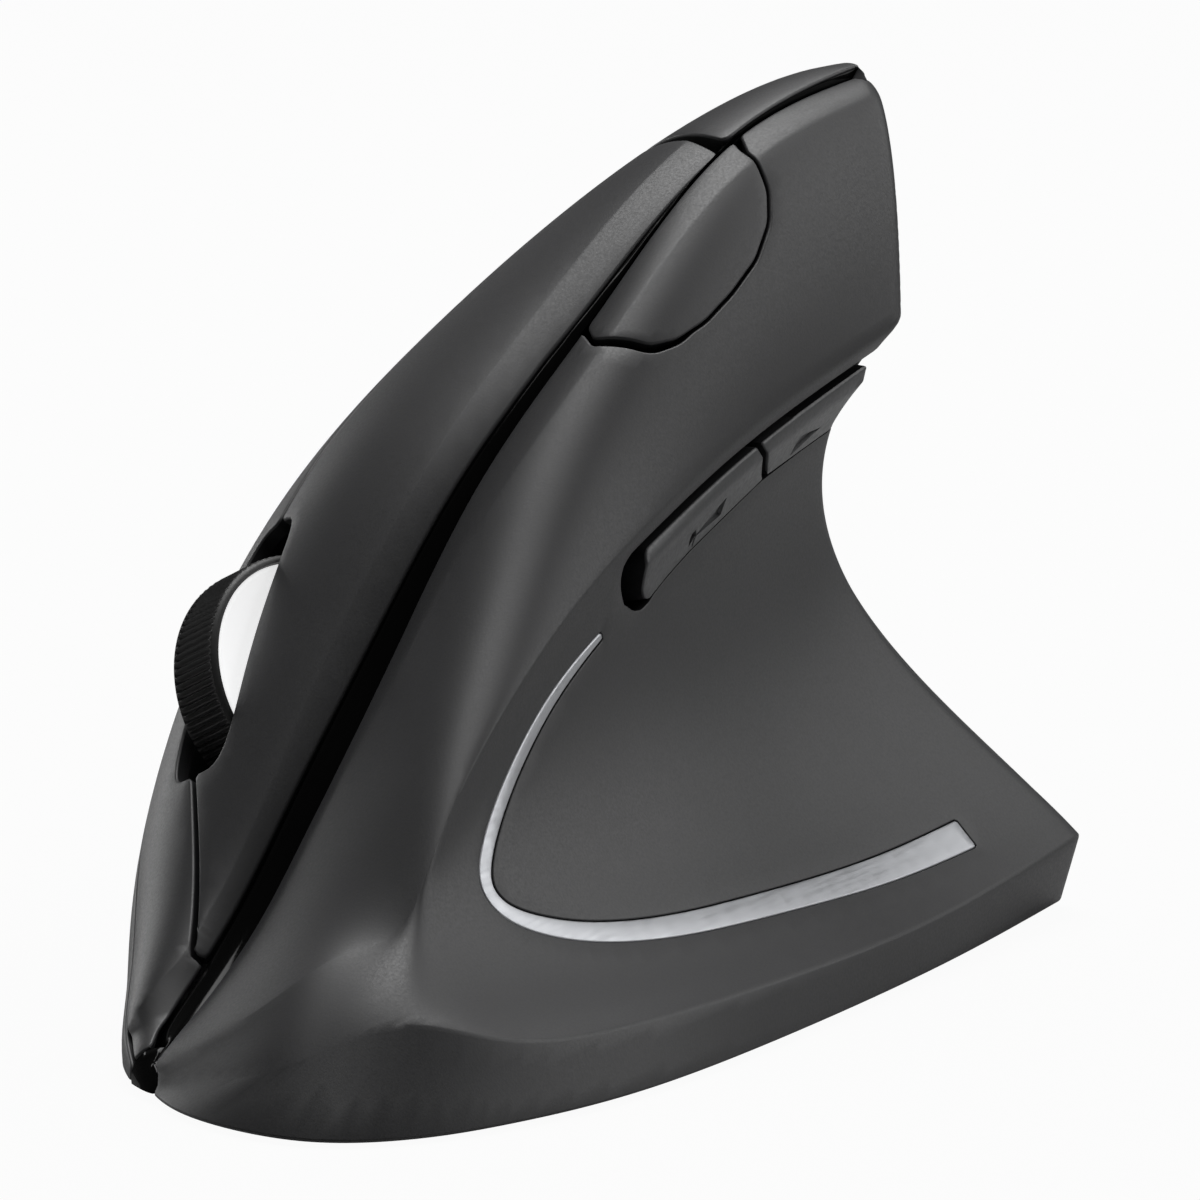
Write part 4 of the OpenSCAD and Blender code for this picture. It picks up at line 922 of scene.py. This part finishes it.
def shell_radius(uv):
    """Small along the lower edge of the slot, where the thumb buttons run into the shell."""
    by_keys = (uv[:, 0] > 0.756) & (np.abs(uv[:, 1] - slot_foot(uv[:, 0])) < 0.004)
    by_accent = (uv[:, 0] < 0.97) & (uv[:, 0] > 0.5) & (uv[:, 1] > 0.49) & (uv[:, 1] < 0.88)
    return np.where(by_keys, RUN_IN_R, np.where(by_accent, 0.1, 0.22))


rear_lines = [np.column_stack([np.full(240, U_REAR - away / THUMB_L), np.linspace(0.01, 0.99, 240)])
              for away in (0.35, 0.65, 1.0, 1.4)]
ridge_lines = [run(0.0, 0.998, lambda u, v=v: np.full_like(u, v), 340)
               for v in (V_CREASE - FILLET, V_CREASE, V_CREASE + FILLET,
                         V_LIP - FILLET, V_LIP, V_LIP + FILLET)]
wear(panel("thumb_skin", THUMB, shell, shell_depth, holes=[hook_border(0.08)], rise=shell_bevel,
           radius=shell_radius, spacing=1.2, seeds=bevel_seeds(0.1, 0.99, 220) + rear_lines + ridge_lines,
           free=0.99),
     "thumb_shell", "housing", SOFT)

# Gloss strip along the spine; its gaps, in millimetres over shares of the length, leave room for the buttons
FAR_GAP = ((0.0, 0.52), (0.13, 0.5), (0.16, 0.36), (U_HINGE, 0.1), (1.0, 0.1))
STRIP_CROWN = 0.15
# Depth of the strip's edges below the bevels of the thumb side and the palm side
NEAR_SINK = 0.12
FAR_SINK = 0.25
NEAR_GAP = ((0.0, 0.12), (0.72, 0.12), (0.735, 0.28), (0.9, 0.28), (0.915, 0.12), (1.0, 0.12))


def at_share(function, share):
    """Value of a function of an array at one share."""
    return float(function(np.array([share]))[0])


def strip_ring(u):
    """Section of the strip: a low crown between the bevels on both sides."""
    w = u * U_TOP
    near_gap = np.interp(u, *np.array(NEAR_GAP).T) / at_share(thumb_speed, u)
    near_uv = np.array([[u, at_share(thumb_edge, u) - near_gap]])
    far_gap = np.interp(w, *np.array(FAR_GAP).T) / at_share(rib_speed, w)
    far_uv = np.array([[w, max(at_share(strip_v, w) - far_gap, 0.004)]])
    chamfered = np.clip((U_HINGE + 0.01 - w) / 0.02, 0, 1)
    near_up, far_up = THUMB.normal(near_uv)[0], PALM.normal(far_uv)[0]
    near = THUMB.at(near_uv)[0] - (at_share(bevel_drop, u) + NEAR_SINK) * near_up
    far = PALM.at(far_uv)[0] - (CHAMFER_DROP * chamfered + FAR_SINK) * far_up
    up = unit(near_up + far_up)
    deep = STRIP_H * min(1, 0.3 + 4 * u)
    crown = [near + (far - near) * t + up * STRIP_CROWN * (1 - (2 * t - 1) ** 4)
             for t in np.linspace(0, 1, 9)]
    foot = [near + (far - near) * t - up * deep for t in (0.75, 0.5)]
    return crown + foot


strip_rings = [strip_ring(u) for u in np.linspace(0.012, 1.003, 150)]
wear(tube("spine_strip_skin", strip_rings), "spine_strip", "housing", GLOSS)

# Nose cap: a rounded bow between the right button and the thumb shell
NOSE_DEEP = np.array((0.25, 0.6, 0.0))


def nose_ring(v):
    """Section of the cap at a share of the ribs: round outside, with the same line set back inside."""
    start = PALM.at(np.array([[U_NOSE - U_GAP, v]]))[0]
    bow = (PALM.at(np.array([[-0.012, v]]))[0] + THUMB.at(np.array([[-0.008, v]]))[0]) / 2
    end = THUMB.at(np.array([[U_TIP, v]]))[0]
    front = [bez2(start, bow, end, t) for t in np.linspace(0, 1, 9)]
    ring = np.array(front + [p + NOSE_DEEP for p in front[::-1]])
    ring[:, 2] = np.maximum(ring[:, 2], FOOT)
    return ring


wear(tube("nose_cap_skin", [nose_ring(v) for v in np.linspace(0.04, 1.0, 14)], 60),
     "nose_cap", "housing", GLOSS)

# Wheel: a ribbed tyre and a dished hub, in the frame of the wheel joint
joints = {joint["name"]: joint for joint in frame["joints"]}
AXLE = np.array(joints["wheel_spin"]["pos_m"]) / MM
ACROSS = unit(np.array(joints["wheel_spin"]["axis"], float))
OUT = -unit(np.array(joints["wheel_click"]["axis"], float))
ALONG = np.cross(OUT, ACROSS)
RIBS = 100
RIB_H = 0.45
SHOULDER_R = 0.7
half = WHEEL_W / 2


def lathe(name, profile, ribbed=False, turns=96):
    """Body turned about the axle; the profile is a closed list of distances across and radii."""
    profile = np.array(profile)
    rings = []
    for k in range(turns):
        angle = 2 * math.pi * k / turns
        radii = profile[:, 1].copy()
        if ribbed:
            inner = np.clip((half - 0.35 - abs(profile[:, 0])) / 0.4, 0, 1)
            radii = radii - inner * RIB_H * (0.5 - 0.5 * math.cos(RIBS * angle)) ** 0.7
        spoke = math.cos(angle) * OUT + math.sin(angle) * ALONG
        rings.append(AXLE + profile[:, :1] * ACROSS + radii[:, None] * spoke)
    rings = np.array(rings)
    n, m = rings.shape[:2]
    faces = [(i * m + j, i * m + (j + 1) % m, (i + 1) % n * m + (j + 1) % m, (i + 1) % n * m + j)
             for i in range(n) for j in range(m)]
    return add_mesh(name, rings.reshape(-1, 3), faces, 50)


shoulder = [(half - SHOULDER_R * (1 - math.sin(t)), WHEEL_R - SHOULDER_R * (1 - math.cos(t)))
            for t in np.linspace(0, math.pi / 2, 7)]
tread = [(x, WHEEL_R) for x in np.linspace(-half + SHOULDER_R, half - SHOULDER_R, 13)]
tyre_side = [(half - 0.1, RIM_R + 0.1), (half - 0.3, RIM_R)]
tyre_profile = ([(-x, r) for x, r in tyre_side[::-1]] + [(-x, r) for x, r in shoulder[::-1]]
                + tread[1:-1] + shoulder + tyre_side)
wear(lathe("tyre_ribbed", tyre_profile, ribbed=True, turns=RIBS * 7),
     "wheel_tyre", "wheel", RUBBER)
hub_side = [(half - 0.5, RIM_R), (half - 0.35, RIM_R - 0.3), (half - 0.4, RIM_R - 0.6),
            (half - 0.8, RIM_R - 1.6), (half - 1.2, 5.0), (half - 1.2, 3.8), (half - 0.3, 3.2),
            (half - 0.1, 2.9), (half - 0.1, 1.3)]
hub_profile = hub_side + [(-x, r) for x, r in hub_side[::-1]]
wear(lathe("hub_dished", hub_profile), "wheel_rim", "wheel", GLOWING_WHITE)

# Stage, light and camera
AZIMUTH, ELEVATION = math.radians(28), math.radians(11)
DISTANCE = 1.2
TARGET = Vector((18.425, -15.96, 38.8)) * MM
BACK = Vector((math.sin(AZIMUTH) * math.cos(ELEVATION),
               -math.cos(AZIMUTH) * math.cos(ELEVATION),
               math.sin(ELEVATION)))
RIGHT = Vector((math.cos(AZIMUTH), math.sin(AZIMUTH), 0))
UP = BACK.cross(RIGHT)
LENS_MM = 428.4


def frame_matrix(x, y, z, origin):
    """Placement with the given axes at an origin."""
    return Matrix(((x.x, y.x, z.x, origin.x),
                   (x.y, y.y, z.y, origin.y),
                   (x.z, y.z, z.z, origin.z),
                   (0, 0, 0, 1)))


camera = bpy.data.objects.new("camera", bpy.data.cameras.new("camera"))
camera.data.lens = LENS_MM
camera.data.sensor_width = 36
camera.data.clip_end = 20
camera.matrix_world = frame_matrix(RIGHT, UP, BACK, TARGET + DISTANCE * BACK)
bpy.context.scene.collection.objects.link(camera)
bpy.context.scene.camera = camera


def soft_light(name, place, aim, size, power):
    """Square area lamp at a place, turned to an aim, in metres."""
    lamp = bpy.data.objects.new(name, bpy.data.lights.new(name, "AREA"))
    lamp.data.size = size
    lamp.data.energy = power
    lamp.location = place
    lamp.rotation_euler = (Vector(aim) - Vector(place)).to_track_quat("-Z", "Y").to_euler()
    bpy.context.scene.collection.objects.link(lamp)
    return lamp


MIDDLE = (0, 0, 0.035)
soft_light("top_light", (-0.16, 0.3, 0.92), MIDDLE, 0.62, 7.8)
soft_light("right_light", (0.64, 0.56, 0.54), MIDDLE, 0.8, 4)
soft_light("left_light", (-0.9, 0.38, 0.14), MIDDLE, 0.4, 1.4)

# Floor, which the camera sees as almost white paper with the object's shadow
FLOOR_SIZE = 6.0
WHITE_SHARE = 0.95
mesh = bpy.data.meshes.new("floor")
corners = [(-FLOOR_SIZE, -FLOOR_SIZE, 0), (FLOOR_SIZE, -FLOOR_SIZE, 0), (FLOOR_SIZE, FLOOR_SIZE, 0),
           (-FLOOR_SIZE, FLOOR_SIZE, 0)]
mesh.from_pydata(corners, [], [(0, 1, 2, 3)])
floor = bpy.data.objects.new("floor", mesh)
bpy.context.scene.collection.objects.link(floor)
paper, nodes, links, shader = new_material("floor_paper")
shader.inputs["Base Color"].default_value = (0.45, 0.45, 0.45, 1)
shader.inputs["Roughness"].default_value = 0.9
glow = nodes.new("ShaderNodeEmission")
glow.inputs["Strength"].default_value = 1.0
path = nodes.new("ShaderNodeLightPath")
blend = nodes.new("ShaderNodeMixShader")
share = nodes.new("ShaderNodeMath")
share.operation = "MULTIPLY"
share.inputs[1].default_value = WHITE_SHARE
links.new(path.outputs["Is Camera Ray"], share.inputs[0])
links.new(share.outputs[0], blend.inputs["Fac"])
links.new(shader.outputs["BSDF"], blend.inputs[1])
links.new(glow.outputs["Emission"], blend.inputs[2])
links.new(blend.outputs["Shader"], nodes["Material Output"].inputs["Surface"])
mesh.materials.append(paper)

world = bpy.data.worlds.new("studio")
bpy.context.scene.world = world
world.use_nodes = True
nodes, links = world.node_tree.nodes, world.node_tree.links
ambient = nodes["Background"]
ambient.inputs["Color"].default_value = (1, 1, 1, 1)
ambient.inputs["Strength"].default_value = 0.06
backdrop = nodes.new("ShaderNodeBackground")
path = nodes.new("ShaderNodeLightPath")
mixer = nodes.new("ShaderNodeMixShader")
links.new(path.outputs["Is Camera Ray"], mixer.inputs["Fac"])
links.new(ambient.outputs["Background"], mixer.inputs[1])
links.new(backdrop.outputs["Background"], mixer.inputs[2])
links.new(mixer.outputs["Shader"], nodes["World Output"].inputs["Surface"])
backdrop.inputs["Color"].default_value = (1, 1, 1, 1)

bpy.context.scene.view_settings.view_transform = "Standard"
